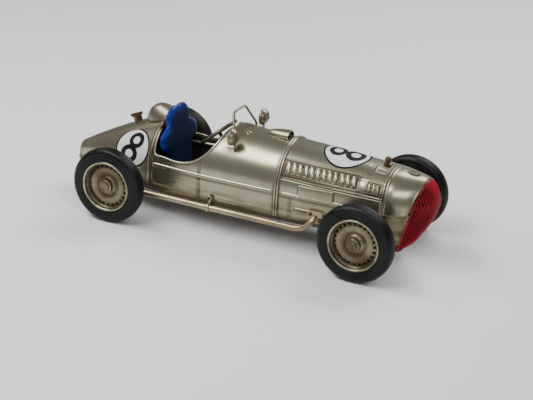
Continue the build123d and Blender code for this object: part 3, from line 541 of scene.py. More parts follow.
# Near-black paint: painted shade on the sheets' inner faces and on the drum behind each wheel's slots,
# and the colour of the parts in the dark slot.
def dark_paint():
    s = Shader("shade_black_inside")
    fine = s.noise(300)
    s.set(color=s.mix(fine, rgb(0.012, 0.010, 0.008), rgb(0.035, 0.028, 0.02)), roughness=0.75,
          normal=s.height(fine, 0.0003, 0.4))
    return s.material


def grille_paint():
    """Crimson enamel with fine dirt, and painted shade darkening its depths between the bars."""
    s = Shader("grille_red")
    patch, fine = s.noise(90, 4), s.noise(700, 3)
    tone = s.mix(s.span(patch, 0.35, 0.7), rgb(0.36, 0.006, 0.022), rgb(0.22, 0.004, 0.014))
    # painted shade in the depths between the bars
    depth_shade = s.math("MULTIPLY", s.grime_and_shade(), 0.85)
    dirt_and_shade = s.math("ADD", s.span(fine, 0.62, 0.78, 0, 0.4), depth_shade, clamp=True)
    s.set(color=s.mix(dirt_and_shade, tone, rgb(0.05, 0.003, 0.006)),
          roughness=s.span(fine, 0.3, 0.7, 0.32, 0.46), coat=0.15, coat_roughness=0.2,
          specular=0.35, normal=s.height(fine, 0.0003, 0.3))
    return s.material


def seat_paint():
    """Cobalt-blue glazed cloth over padding: a glossy skin with a fine grain and small creases, painted
    dark navy as shade where the mesh marks it.
    """
    s = Shader("seat_blue")
    patch, grain = s.noise(70, 5, 0.6), s.noise(1500, 2)
    crease = s.noise(160, 3, 0.5, s.stretched(1, 2.4, 0.8))
    tone = s.mix(s.span(patch, 0.35, 0.68), rgb(0.006, 0.024, 0.22), rgb(0.003, 0.009, 0.09))
    # painted shade: marked points turn dark navy
    tone = s.mix(s.math("MULTIPLY", s.grime_and_shade(), 0.95), tone, rgb(0.010, 0.013, 0.040))
    relief = s.math("ADD", s.math("MULTIPLY", crease, 1.2), s.math("MULTIPLY", grain, 0.05))
    s.set(color=tone, roughness=s.math("ADD", s.span(patch, 0.3, 0.7, 0.26, 0.36),
                                       s.math("MULTIPLY", s.grime_and_shade(), 0.5)),
          specular=0.12, normal=s.height(relief, 0.0009, 0.3))
    return s.material


def enamel(name, color, second, roughness=0.3, specular=0.4, coat=0.2):
    """Printed enamel for the roundels, a little rubbed and dusty."""
    s = Shader(name)
    patch, fine = s.noise(120, 4), s.noise(1100, 3)
    tone = s.mix(s.span(patch, 0.4, 0.75, 0, 0.6), color, second)
    s.set(color=s.mix(s.span(fine, 0.66, 0.78, 0, 0.4), tone, rgb(0.2, 0.16, 0.1)),
          roughness=s.span(fine, 0.3, 0.7, roughness, roughness + 0.12), coat=coat, coat_roughness=0.15,
          specular=specular, normal=s.height(fine, 0.0002, 0.2))
    return s.material


def tyre_rubber():
    s = Shader("tyre_rubber")
    patch, fine = s.noise(60, 4), s.noise(1300, 3)
    tone = s.mix(s.span(patch, 0.35, 0.7), rgb(0.0035, 0.0035, 0.0035), rgb(0.009, 0.0085, 0.008))
    s.set(color=s.mix(s.span(fine, 0.62, 0.8, 0, 0.3), tone, rgb(0.03, 0.027, 0.024)),
          roughness=s.span(patch, 0.3, 0.7, 0.3, 0.42), specular=0.2,
          normal=s.height(fine, 0.0003, 0.45))
    return s.material


DARK, RED, BLUE, TYRE = dark_paint(), grille_paint(), seat_paint(), tyre_rubber()
WHITE = enamel("roundel_white", rgb(0.72, 0.72, 0.69), rgb(0.6, 0.6, 0.56))
BLACK = enamel("roundel_black", rgb(0.006, 0.006, 0.006), rgb(0.014, 0.013, 0.012), 0.4, 0.12, 0.0)

OLIVE = aged_metal("steering_olive", rgb(0.12, 0.105, 0.065), rgb(0.075, 0.062, 0.036),
                   rgb(0.03, 0.02, 0.01), 0.6, 0.34)
# The scuttle hood's darker nickel is painted shade over the dash.
DARKER = {"steering_wheel": OLIVE, "steering_column": NICKEL_DARK, "radiator_cap": BRASS,
          "scuttle_hood": NICKEL_DARK, "cockpit_rim": NICKEL}
SLOT_MATERIALS = {
    "body": NICKEL, "trim": NICKEL_TRIM, "chin": CHIN, "base": BASE, "dark": DARK, "grille": RED,
    "roundel": WHITE, "seat": BLUE, "pipe": PIPE, "brass": BRASS, "tyre": TYRE, "wheel": WHEEL,
    "gear": GEAR, "steel": STEEL, "iron": IRON,
}
for part in frame["record"]["subparts"]:
    cad = frame["nodes"][part["node"]]
    for slot in cad.material_slots:
        slot.material = DARKER.get(part["node"], SLOT_MATERIALS[part["material_slot"]])


# ---- body pressings
def panel(name, points, height, grime_and_shade, thickness=SHEET, skin=NICKEL):
    """A pressed sheet from a grid of points, raised along its normals and thickened inwards."""
    n = normals_of(points)
    outward = points - [0, 0, 40.0]
    outward[..., 0] = 0
    flip = bool(np.sum(n * outward) < 0)
    if flip:
        n = -n
    raised = points + n * height[..., None]
    obj = grid_mesh(name, raised, flip=flip)
    set_grime_and_shade(obj, np.clip(grime_and_shade, 0, 1))
    if thickness:
        # The inner face is painted near-black as shade.
        thicken(obj, thickness, inner=(skin, DARK))
    return obj


def pressing(name, points, height, grime_and_shade, *nodes):
    """A finished panel of the body that shows the given CAD nodes."""
    done(panel(name, points, height, grime_and_shade), "car", "body", None, *nodes)


def angle_share(z, top, power):
    """The v of the height z on an arch of that top and power."""
    s = np.clip((z - RIDGE_Z) / (top - RIDGE_Z), 0, 1) ** (power / 2)
    return SIDE_SHARE + (1 - SIDE_SHARE) * np.arcsin(np.clip(s, 0, 1)) * 2 / math.pi


def arch_points(surface, x, w):
    """Points of a full arch: w runs from -1 at the right foot over the crown to 1 at the left."""
    return surface(x, 1 - np.abs(w), np.where(w < 0, -1.0, 1.0))


# Tail: closely spaced rows towards its tip
t = np.linspace(0, 1, 170)[:, None]
w = np.linspace(-1, 1, 281)[None, :]
x = TAIL_END + (TAIL_SEAM - TAIL_END) * t**1.5 + 0 * w
tail = arch_points(tail_surface, x, w + 0 * t)
X, Y, Z = np.moveaxis(tail, -1, 0)
crease = np.moveaxis(tail_at(X), -1, 0)[1]
grime_and_shade = (
    0.9 * near(X - TAIL_SEAM, 1.3)
    + 0.45 * near(np.abs(Y) - crease, 2.2) * smoothstep(-160, -150, X)
    + 0.8 * smoothstep(28.5, 25.0, Z)
    + 0.3 * smoothstep(-146, -161, X)
    # painted shade: 0.2 over the whole tail, standing for the darker room its flank reflects
    + 0.2
    + 0.55 * near(np.hypot(X - REAR_AXLE, Z - WHEEL_R) - 3, 3.5) * (np.abs(Y) > 12)
)
lip = 0.35 * bump_line(X - (TAIL_SEAM - 2.2), 0.9) - 0.5 * near(X - (TAIL_SEAM - 0.2), 0.5)
pressing("tail_shell_skin", tail, lip, grime_and_shade, "tail_shell")

# Cockpit shell: its upper edge follows the cut, then it closes over the scuttle
COCKPIT_EDGE = [
    (-73.9, 57.0), (-73.3, 53.6), (-70.4, 51.6), (-65, 51), (-58, 50.5), (-50.7, 49.9),
    (-43.6, 50.4), (-37, 52.6), (-31.5, 55.6), (-25, 61), (-20.2, 66.8), (-16.8, 72.6),
    (-14, 78.2), (-12.8, 81.0),
]
cut = resample(COCKPIT_EDGE, 150)
rows_x = np.r_[cut[:, 0], np.linspace(cut[-1, 0], STRAP_X, 131)[1:]]
rows_x = np.maximum.accumulate(rows_x) + np.arange(len(rows_x)) * 1e-6
top, half, foot, power = body_at(rows_x).T
edge_z = np.r_[cut[:, 1], np.full(130, 200.0)]
edge_v = angle_share(edge_z, top, power)
halves = []
t = np.linspace(0, 1, 170)
for side in (-1, 1):
    x = rows_x[:, None] + 0 * t[None]
    v = edge_v[:, None] * t[None]
    pts = body_surface(x, v, side + 0 * x)
    X, Y, Z = np.moveaxis(pts, -1, 0)
    height = (
        0.55 * bump_line(X - PANEL_SEAM, 0.7)
        - 0.35 * near(np.abs(X - PANEL_SEAM) - 1.0, 0.3)
        + 0.35 * bump_line(Z - (RIDGE_Z - 16.6), 0.8)
        - 0.3 * near(X - (TAIL_SEAM + 0.4), 0.5)
    )
    grime_and_shade = (
        0.8 * near(X - TAIL_SEAM, 1.6)
        + 0.75 * near(np.abs(X - PANEL_SEAM) - 1.0, 0.5)
        + 0.7 * near(X - STRAP_X, 1.3)
        + 0.55 * near(Z - (RIDGE_Z - 2.3), 1.2)
        + 0.7 * smoothstep(28.0, 25.2, Z)
        # painted shade over the scuttle, forward of the cockpit's cut
        + 0.75 * near(X + 6, 6) * near(Z - 70, 6)
        + 0.7 * near(X + 8, 6.5) * smoothstep(72, 77, Z)
        + 0.25 * smoothstep(7, 0, np.abs(Z - edge_z[:, None]))
    )
    height = height * smoothstep(0, 3.0, np.abs(edge_z[:, None] - Z))
    halves.append(panel(f"half{side}", pts, height, grime_and_shade, 0))
cockpit = mend(join("cockpit_shell_skin", halves), 2e-6, outward=False)
# The inner face is painted near-black as shade.
thicken(cockpit, SHEET, inner=(NICKEL, DARK))
done(cockpit, "car", "body", None, "cockpit_shell")


# Bonnet and side panels
def hinge_z(x):
    return HINGE_REAR + (HINGE_FRONT - HINGE_REAR) * (x - STRAP_X) / (NOSE_SEAM - STRAP_X)


def louvres(X, Z, x0, x1, z0, z1, tall, count, seed):
    """Height and grime of a framed row of half-round ribs, each a little unlike the next."""
    r = np.random.default_rng(seed)
    gain = r.uniform(0.8, 1.15, count)
    shift = r.uniform(-0.28, 0.28, count)
    lean = r.uniform(-0.35, 0.35, count)
    up = Z - (z0 + (z1 - z0) * (X - x0) / (x1 - x0))
    inside = (
        smoothstep(x0 - 0.3, x0 + 0.3, X) * smoothstep(x1 + 0.3, x1 - 0.3, X)
        * smoothstep(-0.3, 0.3, up) * smoothstep(tall + 0.3, tall - 0.3, up)
    )
    edge = np.minimum(np.minimum(np.abs(up), np.abs(up - tall)),
                      np.minimum(np.abs(X - x0), np.abs(X - x1)))
    line = bump_line(edge, 0.55) * (inside > 0.02)
    pitch = (x1 - x0 - 2.0) / count
    ribs = np.zeros_like(X)
    for k in range(count):
        cx = x0 + 1.0 + pitch * (k + 0.5) + shift[k]
        cx = cx + lean[k] * (up / tall - 0.5) + 0.16 * np.sin(up * 1.1 + k)
        ends = np.clip(1 - np.abs((up - tall / 2) / (tall / 2 - 1.0)) ** 4, 0, 1) ** 0.5
        ribs = np.maximum(ribs, bump_line(X - cx, pitch * 0.45) * ends * gain[k])
    height = 0.3 * line + 1.45 * ribs + 0.12 * inside * (1 - line)
    grime_and_shade = inside * np.clip(0.8 - 1.6 * ribs, 0, 1) * 0.6 + 0.6 * near(edge - 0.9, 0.5)
    return height, grime_and_shade


def box_line(X, Z, x0, x1, z0, z1):
    """Distance to a rectangle's outline, negative inside it."""
    dx = np.maximum(x0 - X, X - x1)
    dz = np.maximum(z0 - Z, Z - z1)
    return np.maximum(dx, dz)


xs = np.linspace(STRAP_X, NOSE_SEAM, 300)
top, half, foot, power = body_at(xs).T
hinge_v = angle_share(hinge_z(xs) + 0.15, top, power)
w = np.linspace(-1, 1, 301)
v = 1 - (1 - hinge_v)[:, None] * np.abs(w)[None]
pts = body_surface(xs[:, None] + 0 * v, v, np.where(w < 0, -1.0, 1.0)[None] + 0 * v)
X, Y, Z = np.moveaxis(pts, -1, 0)
height, grime_and_shade = louvres(X, Z, 41.0, 102.3, 59.4, 58.3, 10.6, 12, 3)
front_height, front_grime_and_shade = louvres(X, Z, 108.9, 120.8, 56.6, 56.2, 9.6, 3, 4)
height, grime_and_shade = height + front_height, grime_and_shade + front_grime_and_shade
plate = box_line(X, Y, 110.8, 120.6, -13.6, -5.2)
height = height + 0.7 * smoothstep(0.35, -0.35, plate) - 0.45 * smoothstep(-0.8, -1.3, plate)
grime_and_shade = grime_and_shade + 0.85 * near(plate - 0.5, 0.45) + 0.6 * near(plate + 1.2, 0.45)
above = Z - hinge_z(X)
height = height + 0.75 * bump_line(above - 0.8, 0.8) - 0.3 * near(above - 1.9, 0.35)
grime_and_shade = (
    grime_and_shade
    + 0.75 * near(above - 1.9, 0.5)
    + 0.8 * near(X - (STRAP_X + STRAP_W), 1.0)
    + 0.85 * near(X - NOSE_SEAM, 0.9)
    + 0.35 * near(X - (NOSE_SEAM - 2.2), 0.5)
)
height = height + 0.35 * bump_line(X - (NOSE_SEAM - 1.1), 0.7)
pressing("bonnet_skin", pts, height, grime_and_shade, "bonnet", "louvre_panels", "bonnet_plate")

panel_v = angle_share(hinge_z(xs) - 0.15, top, power)
for word, side in SIDES:
    t = np.linspace(0, 1, 130)
    v = panel_v[:, None] * t[None]
    pts = body_surface(xs[:, None] + 0 * v, v, side + 0 * v)
    X, Y, Z = np.moveaxis(pts, -1, 0)
    plate = box_line(X, Z, 56, 85, 44.0 + 1.8, 53.8)
    strip = box_line(X, Z, 54, 79, 33.7, 35.5)
    height = (
        0.7 * smoothstep(0.35, -0.35, plate)
        + 0.6 * smoothstep(0.4, -0.5, strip)
        - 0.25 * near(hinge_z(X) - Z - 0.4, 0.4)
        + 0.35 * bump_line(X - (NOSE_SEAM - 1.1), 0.7)
    )
    grime_and_shade = (
        0.75 * near(plate - 0.5, 0.45)
        + 0.7 * near(strip - 0.5, 0.4)
        + 0.95 * near(hinge_z(X) - Z, 0.75)
        + 0.6 * near(Z - (RIDGE_Z - 2.4), 1.1)
        + 0.75 * smoothstep(28.6, 25.4, Z)
        + 0.8 * near(X - (STRAP_X + STRAP_W), 1.0)
        + 0.85 * near(X - NOSE_SEAM, 0.9)
        + 0.55 * near(X - 50, 2.2) * smoothstep(44, 38, Z)
    )
    pressing(f"side_panel_{word}_skin", pts, height, grime_and_shade, f"side_panel_{word}")

# Strap: a raised band with two bright cords and a dark channel between them
xs = np.linspace(STRAP_X - 0.2, STRAP_X + STRAP_W + 0.2, 41)
w = np.linspace(-1, 1, 261)
pts = arch_points(body_surface, xs[:, None] + 0 * w[None], w[None] + 0 * xs[:, None])
X = pts[..., 0] - STRAP_X
height = 0.25 + 0.85 * bump_line(X - 0.9, 0.8) + 0.85 * bump_line(X - 3.1, 0.8)
height = height - 0.3 * smoothstep(0.25, -0.2, X) - 0.3 * smoothstep(3.75, 4.2, X)
grime_and_shade = 0.95 * near(X - 2.0, 0.45) + 0.95 * near(X + 0.1, 0.4) + 0.95 * near(X - 4.1, 0.4)
done(panel("strap_band_skin", pts, height, grime_and_shade, 0.9, NICKEL_TRIM), "car", "trim", None,
     "strap_band")

# Nose cowl, cut back to the grille's raked plane
nose_arch = arch_surface(nose_at, 43.0)
SHARE = 0.06


def nose_points(x, w):
    v = 1 - np.abs(w)
    spread = np.where(v < SHARE, v / SHARE * SIDE_SHARE,
                      SIDE_SHARE + (v - SHARE) / (1 - SHARE) * (1 - SIDE_SHARE))
    return nose_arch(x, spread, np.where(w < 0, -1.0, 1.0))


w = np.linspace(-1, 1, 241)
end = np.full(len(w), 148.0)
for _ in range(8):
    end = FACE_X + (nose_points(end, w)[:, 2] - FACE_Z) * math.tan(RAKE) - 0.2
t = np.linspace(0, 1, 80)[:, None]
x = NOSE_SEAM + (end[None] - NOSE_SEAM) * t
pts = nose_points(x, w[None] + 0 * t)
X, Y, Z = np.moveaxis(pts, -1, 0)
grime_and_shade = (
    0.9 * near(X - NOSE_SEAM, 0.8)
    + 0.45 * near(X - (NOSE_SEAM + 2.4), 0.5)
    + 0.5 * smoothstep(3.2, 0.2, end[None] - X)
    + 0.5 * smoothstep(46, 43, Z)
    # painted shadow round the badge's raised ring; the next line darkens its centre
    + 0.9 * near(np.hypot((X - BADGE_X) / 1.45, Y) - 3.7, 0.6) * (Z > 60)
    + 0.95 * smoothstep(2.4, 1.9, np.hypot((X - BADGE_X) / 1.5, Y)) * (Z > 60)
)
height = 0.4 * bump_line(X - (NOSE_SEAM + 1.2), 0.8) + 0.3 * smoothstep(1.8, 0.3, end[None] - X)
pressing("nose_cowl_skin", pts, height, grime_and_shade, "nose_cowl")

# Beads along the flanks, broken by the strap
beads = []
for side in (-1, 1):
    for x0, x1 in ((TAIL_SEAM + 0.6, STRAP_X - 0.4), (STRAP_X + STRAP_W + 0.6, 111.5)):
        xs = np.linspace(x0, x1, 90)
        half = body_at(xs)[:, 1]
        path = np.stack([xs, side * (half - 1.15), np.full(90, RIDGE_Z)], 1)
        taper = np.clip(np.minimum(xs - x0, x1 - xs) / 1.4, 0.03, 1) ** 0.5
        beads.append(tube("bead", path, 2.05 * taper, 24))
done(join("side_beads_rolled", beads), "car", "trim", NICKEL, "side_beads")


# ---- racing numbers
def decal_ring(place_on, centre, inner, outer, lift, stretch=(1, 1)):
    """A ring or disc of paint laid on a surface. place_on turns (u, v) into points and normals."""
    r = np.linspace(max(inner, 0.02), outer, 14)[None, :]
    a = np.linspace(0, 2 * math.pi, 96, endpoint=False)[:, None]
    points, n = place_on(centre[0] + r * np.cos(a) * stretch[0],
                         centre[1] + r * np.sin(a) * stretch[1])
    return mend(grid_mesh("ring", points + n * lift, wrap_rows=True))


def on_bonnet(x, y):
    top, half, foot, power = np.moveaxis(body_at(x), -1, 0)
    share = np.clip(np.abs(y) / half, 0, 0.999)
    z = RIDGE_Z + (top - RIDGE_Z) * (1 - share**power) ** (1 / power)
    slope = (top - RIDGE_Z) / half * share ** (power - 1) * (1 - share**power) ** (1 / power - 1)
    n = np.stack([0.06 + 0 * x, np.sign(y) * slope, 1 + 0 * x], -1)
    return np.stack([x, y, z], -1), n / np.linalg.norm(n, axis=-1, keepdims=True)


def on_tail(side):
    def surface(x, s):
        top, crease_y, crease_z, half, ridge, foot = np.moveaxis(tail_at(x), -1, 0)
        limit = np.arccos(np.clip(crease_y / half, 0, 1))
        rise = (crease_z - ridge) / np.sin(limit)
        a = np.clip(s / ((half + rise) / 2), 0, limit)
        y = half * np.cos(a) + np.minimum(s, 0) * 0.02
        z = ridge + rise * np.sin(a) + np.minimum(s, 0)
        n = np.stack([-0.14 + 0 * x, side * np.cos(a) * rise, half * np.sin(a)], -1)
        n[..., 0] *= half
        return np.stack([x, side * y, z], -1), n / np.linalg.norm(n, axis=-1, keepdims=True)

    return surface


def racing_number(place_on, centre, radius, along):
    """A white roundel with a thin black edge and an 8, whose long axis runs along (u, v)."""
    u, v = along
    rings = [decal_ring(place_on, centre, 0, radius, 0.12)]
    rings[0].data.materials.append(WHITE)
    shapes = [(centre, radius - 1.6, radius - 0.05, (1, 1))]
    for offset, size in ((-0.36, 0.45), (0.40, 0.40)):
        where = (centre[0] + u * offset * radius, centre[1] + v * offset * radius)
        squash = (0.93 + 0.17 * abs(v), 0.93 + 0.17 * abs(u))
        shapes.append((where, radius * size * 0.47, radius * size, squash))
    for k, (where, inner, outer, squash) in enumerate(shapes):
        ring = decal_ring(place_on, where, inner, outer, 0.17 + 0.012 * k, squash)
        ring.data.materials.append(BLACK)
        rings.append(ring)
    return rings


numbers = racing_number(on_bonnet, (82.8, 0), 19.2, (-1, 0))
done(join("bonnet_number", numbers), "car", "roundel", None, "bonnet_roundel")
numbers = []
for side in (-1, 1):
    numbers += racing_number(on_tail(side), (-95.3, 10.3), 17.8, (0.38, 0.925))
done(join("tail_numbers", numbers), "car", "roundel", None, "tail_roundels")


# ---- wheels
def tyre_profile():
    """(outward, radius) round a tyre, from its outer bead over the tread and back."""
    outer = [
        (11.1, 20.6), (12.0, 21.0), (12.35, 22.0), (12.4, 22.8), (12.05, 23.2), (12.1, 23.9),
        (12.4, 24.4), (12.38, 25.0), (12.0, 25.4), (11.95, 26.3), (12.1, 26.7), (12.0, 27.4),
        (11.55, 28.5), (10.9, 29.5), (10.3, 30.1), (9.9, 30.35), (9.6, 30.1), (9.3, 30.5),
        (8.6, 30.75), (8.3, 30.45), (8.0, 30.8), (7.3, 30.92), (7.0, 30.6), (6.7, 30.98),
    ]
    rest = [(TYRE_W - y, r) for y, r in reversed(outer)]
    return outer + [(TYRE_W / 2, WHEEL_R)] + rest + outer[:1]


def disc_with_slots(name, rings, slot_rows, slots, segments=168):
    """A pressed disc: a grid of rings whose cells are left out where its slots are."""
    rings = np.asarray(rings, float)
    a = np.linspace(0, 2 * math.pi, segments, endpoint=False)
    points = np.stack(
        [rings[None, :, 1] * np.cos(a)[:, None], rings[None, :, 0] + 0 * a[:, None],
         rings[None, :, 1] * np.sin(a)[:, None]], -1)
    per = segments // slots
    faces = [
        f for k, f in enumerate(grid_faces(segments, len(rings), wrap_rows=True).tolist())
        if not (slot_rows[0] <= k % (len(rings) - 1) < slot_rows[1]
                and (k // (len(rings) - 1)) % per < per // 2)
    ]
    obj = make_object(name, points.reshape(-1, 3), faces)
    r = np.broadcast_to(rings[None, :, 1], (segments, len(rings))).ravel()
    dirt_and_shade = 0.9 * near(r - 18.2, 0.7) + 0.8 * near(r - 8.8, 1.5) + 0.45 * near(r - 15.0, 0.8)
    dirt_and_shade = dirt_and_shade + rng.uniform(0.05, 0.35, len(r))
    set_grime_and_shade(obj, np.clip(dirt_and_shade, 0, 1))
    return thicken(mend(obj), 0.7, 0)


def wheel(name):
    """A pressed wheel: rolled lip, channel, a ring of slots, a flat web and a dished hub, with a
    near-black drum behind the slots as painted shade.
    """
    lip = lathe("lip", [(1.2, 20.4), (0.6, 20.2), (0.8, 18.9), (10.4, 18.9), (11.4, 18.9),
                        (12.0, 19.2), (12.3, 19.7), (12.35, 20.2), (12.1, 20.75), (11.5, 20.9),
                        (11.1, 20.5), (10.6, 20.2), (1.6, 20.3), (1.2, 20.4)], 144)
    rings = [(9.0, 18.95), (7.8, 18.7), (7.2, 18.3), (7.1, 17.9), (7.3, 17.4), (7.6, 16.8), (7.8, 16.1),
             (8.0, 15.4), (8.15, 14.9), (8.2, 14.2), (8.2, 13.4), (8.2, 12.6), (8.15, 11.8), (8.1, 11.0),
             (7.9, 10.2), (7.6, 9.4), (7.5, 8.6), (7.8, 7.9), (8.5, 7.3), (9.0, 6.6), (9.2, 5.9),
             (9.2, 5.0)]
    web = disc_with_slots("web", rings, (4, 7), 24)
    lip.data.materials.append(NICKEL)
    web.data.materials.append(WHEEL)
    shade_drum = lathe("shade_drum", [(5.6, 4.0), (5.8, 11.0), (6.0, 18.5), (5.2, 18.7), (5.0, 11.0),
                          (4.8, 4.0)], 96)
    shade_drum.data.materials.append(DARK)
    obj = join(name, [lip, web, shade_drum])
    obj.data.shade_smooth()
    return obj


def hub(name):
    """A round boss with a knurled end."""
    body = lathe("boss", [(5.0, 5.2), (9.6, 5.4), (10.6, 5.6), (11.4, 5.6), (11.9, 5.2), (12.1, 4.5),
                          (12.1, 3.4), (12.1, 3.3)], 64)
    a = np.linspace(0, 2 * math.pi, 96, endpoint=False)
    wobble = 1 + 0.045 * np.sign(np.sin(a * 12)) * np.abs(np.sin(a * 12)) ** 0.4
    rows = [(11.4, 3.6), (13.0, 3.6), (13.35, 3.3), (13.4, 2.6), (13.05, 2.2), (13.0, 0.01)]
    pts = []
    for y, r in rows:
        rr = r * (wobble if r > 2.9 else 1)
        pts.append(np.stack([rr * np.cos(a), y + 0 * a, rr * np.sin(a)], -1))
    knurl = mend(grid_mesh("knurl", np.stack(pts, 1), wrap_rows=True))
    obj = join(name, [body, knurl])
    set_grime_and_shade(obj, np.full(len(obj.data.vertices), 0.18))
    return obj


tyre_base = lathe("tyre_base", tyre_profile(), 160)
wheel_base, hub_base = wheel("wheel_base"), hub("hub_base")
for where, x in (("front", FRONT_AXLE), ("rear", REAR_AXLE)):
    body = f"{where}_wheels"
    hubs = []
    for word, side in SIDES:
        lo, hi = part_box(f"tyre_{where}_{word}")
        face = max(abs(lo.y), abs(hi.y)) / MM
        cover = copy_of(tyre_base, f"tyre_{where}_{word}_rubber")
        deep = max(v.co.y for v in cover.data.vertices) / MM
        place(cover, x, face - deep, WHEEL_R, mirror=side < 0)
        done(cover, body, "tyre", TYRE, f"tyre_{where}_{word}")
        rim = copy_of(wheel_base, f"wheel_{where}_{word}_pressed")
        place(rim, x, face - TYRE_W, WHEEL_R, mirror=side < 0)
        done(rim, body, "wheel", None, f"wheel_{where}_{word}")
        boss = copy_of(hub_base, f"hub_{where}_{word}")
        place(boss, x, face - TYRE_W, WHEEL_R, mirror=side < 0)
        hubs.append(boss)
    done(join(f"hub_caps_{where}_turned", hubs), body, "wheel", WHEEL, f"hub_caps_{where}")
for obj in (tyre_base, wheel_base, hub_base):
    bpy.data.objects.remove(obj)


# ---- grille
GRILLE_EDGE = [  # half width, height above FACE_Z in the grille's own plane
    (9.4, -51), (11.8, -42), (13.2, -34), (15.2, -23), (17.2, -14), (19.1, -8.5), (19.0, -5.5),
    (17.2, -2.4), (14.8, 0.6), (13.8, 3),
]
GRILLE_PROW = [  # x and z down the middle of the grille
    (134.0, 6.6), (142.6, 13.5), (149.4, 23.0), (154.6, 31.5), (158.6, 40.0), (160.8, 50.0),
    (160.0, 57.5), (156.6, 64.5), (151.2, 69.4),
]


def grille_half(height):
    edge = np.array(GRILLE_EDGE)
    half = np.interp(height, edge[:, 1], edge[:, 0])
    for past in ((height - 3) / 8.9, (-51 - height) / 3.6):  # rounds the top, then the foot
        half = half * np.sqrt(np.clip(1 - np.clip(past, 0, 1) ** 2.5, 0.0004, 1))
    return half


def grille():
    """The red mesh: bars bowed over its prow, finer cross bars behind them, and a plain edge."""
    rise = np.linspace(0, 1, 300)[:, None]
    h = -54.6 + 66.5 * (rise - 0.02 * np.sin(2 * math.pi * rise))
    u = np.sin(np.linspace(-1, 1, 321) * math.pi / 2)[None, :]
    half = grille_half(h)
    y = u * half
    z = FACE_Z + h * math.cos(RAKE) + 0 * u
    plane = FACE_X + (z - FACE_Z) * math.tan(RAKE)
    prow = np.array(GRILLE_PROW)
    middle = curve_through(prow[:, 1], prow[:, 0])(z)
    bulge = np.maximum(middle - 0.45 - plane, 0)
    x = plane + 0.2 + bulge * (1 - np.abs(u) ** 2.6)
    around = np.cumsum(np.hypot(np.diff(x, axis=1), np.diff(y, axis=1)), axis=1)
    around = np.hstack([np.zeros((len(around), 1)), around])
    around = around - around[:, 160:161]  # distance round the bulge from its middle
    inset = around[:, -1:] - np.abs(around)
    bar_pitch, cross_pitch = 2.4, 3.1
    bars = bump_line((around + bar_pitch / 2) % bar_pitch - bar_pitch / 2, 0.72)
    cross = bump_line((z - 9.5 + cross_pitch / 2) % cross_pitch - cross_pitch / 2, 0.55)
    edge = smoothstep(1.9, 1.2, inset) * (0.4 + 0.6 * bump_line(inset - 0.8, 0.9))
    relief = np.maximum.reduce([bars, 0.34 * cross, 1.05 * edge])
    points = np.stack([x, y, z], -1)
    n = normals_of(points)
    if n[..., 0].sum() < 0:
        n = -n
    quiet = smoothstep(-54.6, -52.5, h) * smoothstep(11.9, 10.2, h)
    points = points + n * ((2.2 * relief - 2.3) * quiet)[..., None]
    obj = grid_mesh("grille_mesh", points)
    if obj.data.polygons[len(obj.data.polygons) // 2].normal.x < 0:
        obj.data.flip_normals()
    # The depths between the bars are marked to be painted dark as shade.
    set_grime_and_shade(obj, np.clip(1.15 - 1.75 * relief, 0, 1) * quiet)
    return thicken(obj, 2.6)


done(grille(), "car", "grille", RED, "grille_frame", "grille_bars")

# ---- cockpit trim and exhaust
for word, side in SIDES:
    dome = lathe("dome", [(-0.9, 0.01), (-0.9, 5.2), (-1.5, 5.5), (-1.6, 6.2), (-1.3, 6.8),
                          (-0.5, 6.95), (0.3, 6.8), (0.6, 6.3), (1.1, 6.1), (2.2, 5.6), (3.3, 4.6),
                          (4.1, 3.3), (4.6, 1.9), (4.75, 1.35), (5.2, 1.1), (5.45, 0.6),
                          (5.5, 0.01)], 72)
    place(facing_x(dome), -3.9, side * 28.1, 80.6)
    stem = tube("stem", [(-3.2, side * 27.6, 76.0), (-2.6, side * 26.2, 72.0),
                         (-2.2, side * 25.0, 68.4)], [1.0, 1.1, 1.5])
    done(join(f"mirror_{word}_cup", [dome, stem]), "car", "trim", NICKEL_DARK, f"mirror_{word}")

corners = [(-6.2, -20.5, 73.0), (-6.4, -20, 78), (-12.4, -10, 94.2), (-12.4, 10, 94.2), (-6.4, 20, 78),
           (-6.2, 20.5, 73.0)]
path = []
for a, b, c in zip(corners, corners[1:], corners[2:]):
    a, b, c = np.array(a), np.array(b), np.array(c)
    into = b + (a - b) / np.linalg.norm(a - b) * 2.0
    out = b + (c - b) / np.linalg.norm(c - b) * 2.0
    path += [(1 - t) ** 2 * into + 2 * t * (1 - t) * b + t * t * out for t in np.linspace(0, 1, 7)]
path = [np.array(corners[0])] + path + [np.array(corners[-1])]
done(tube("windscreen_wire", path, 1.15, flat=0.75), "car", "trim", NICKEL_DARK,
     "windscreen_frame")

PIPE_Y, PIPE_Z, PIPE_R, CLAMP_X = -38.2, 21.0, 2.45, -18
bend = [(57, PIPE_Y, PIPE_Z), (62, PIPE_Y + 0.1, PIPE_Z + 0.8), (66.0, PIPE_Y + 0.4, PIPE_Z + 2.8),
        (69.2, PIPE_Y + 1.4, PIPE_Z + 5.6), (71.2, PIPE_Y + 3.0, PIPE_Z + 8.2),
        (72.0, PIPE_Y + 5.6, PIPE_Z + 10.2)]
straight = [(x, PIPE_Y, PIPE_Z) for x in np.linspace(-80, 52, 34)]
pipe = tube("pipe", resample(straight + bend, 220), PIPE_R, 32)
mouth = lathe("mouth", [(0.35, PIPE_R), (0.35, 1.9), (3.0, 1.8), (3.0, 0.01)], 40)
place(facing_x(mouth), -80.5, PIPE_Y, PIPE_Z)
done(join("exhaust_tube", [pipe, mouth]), "car", "pipe", PIPE, "exhaust_pipe")

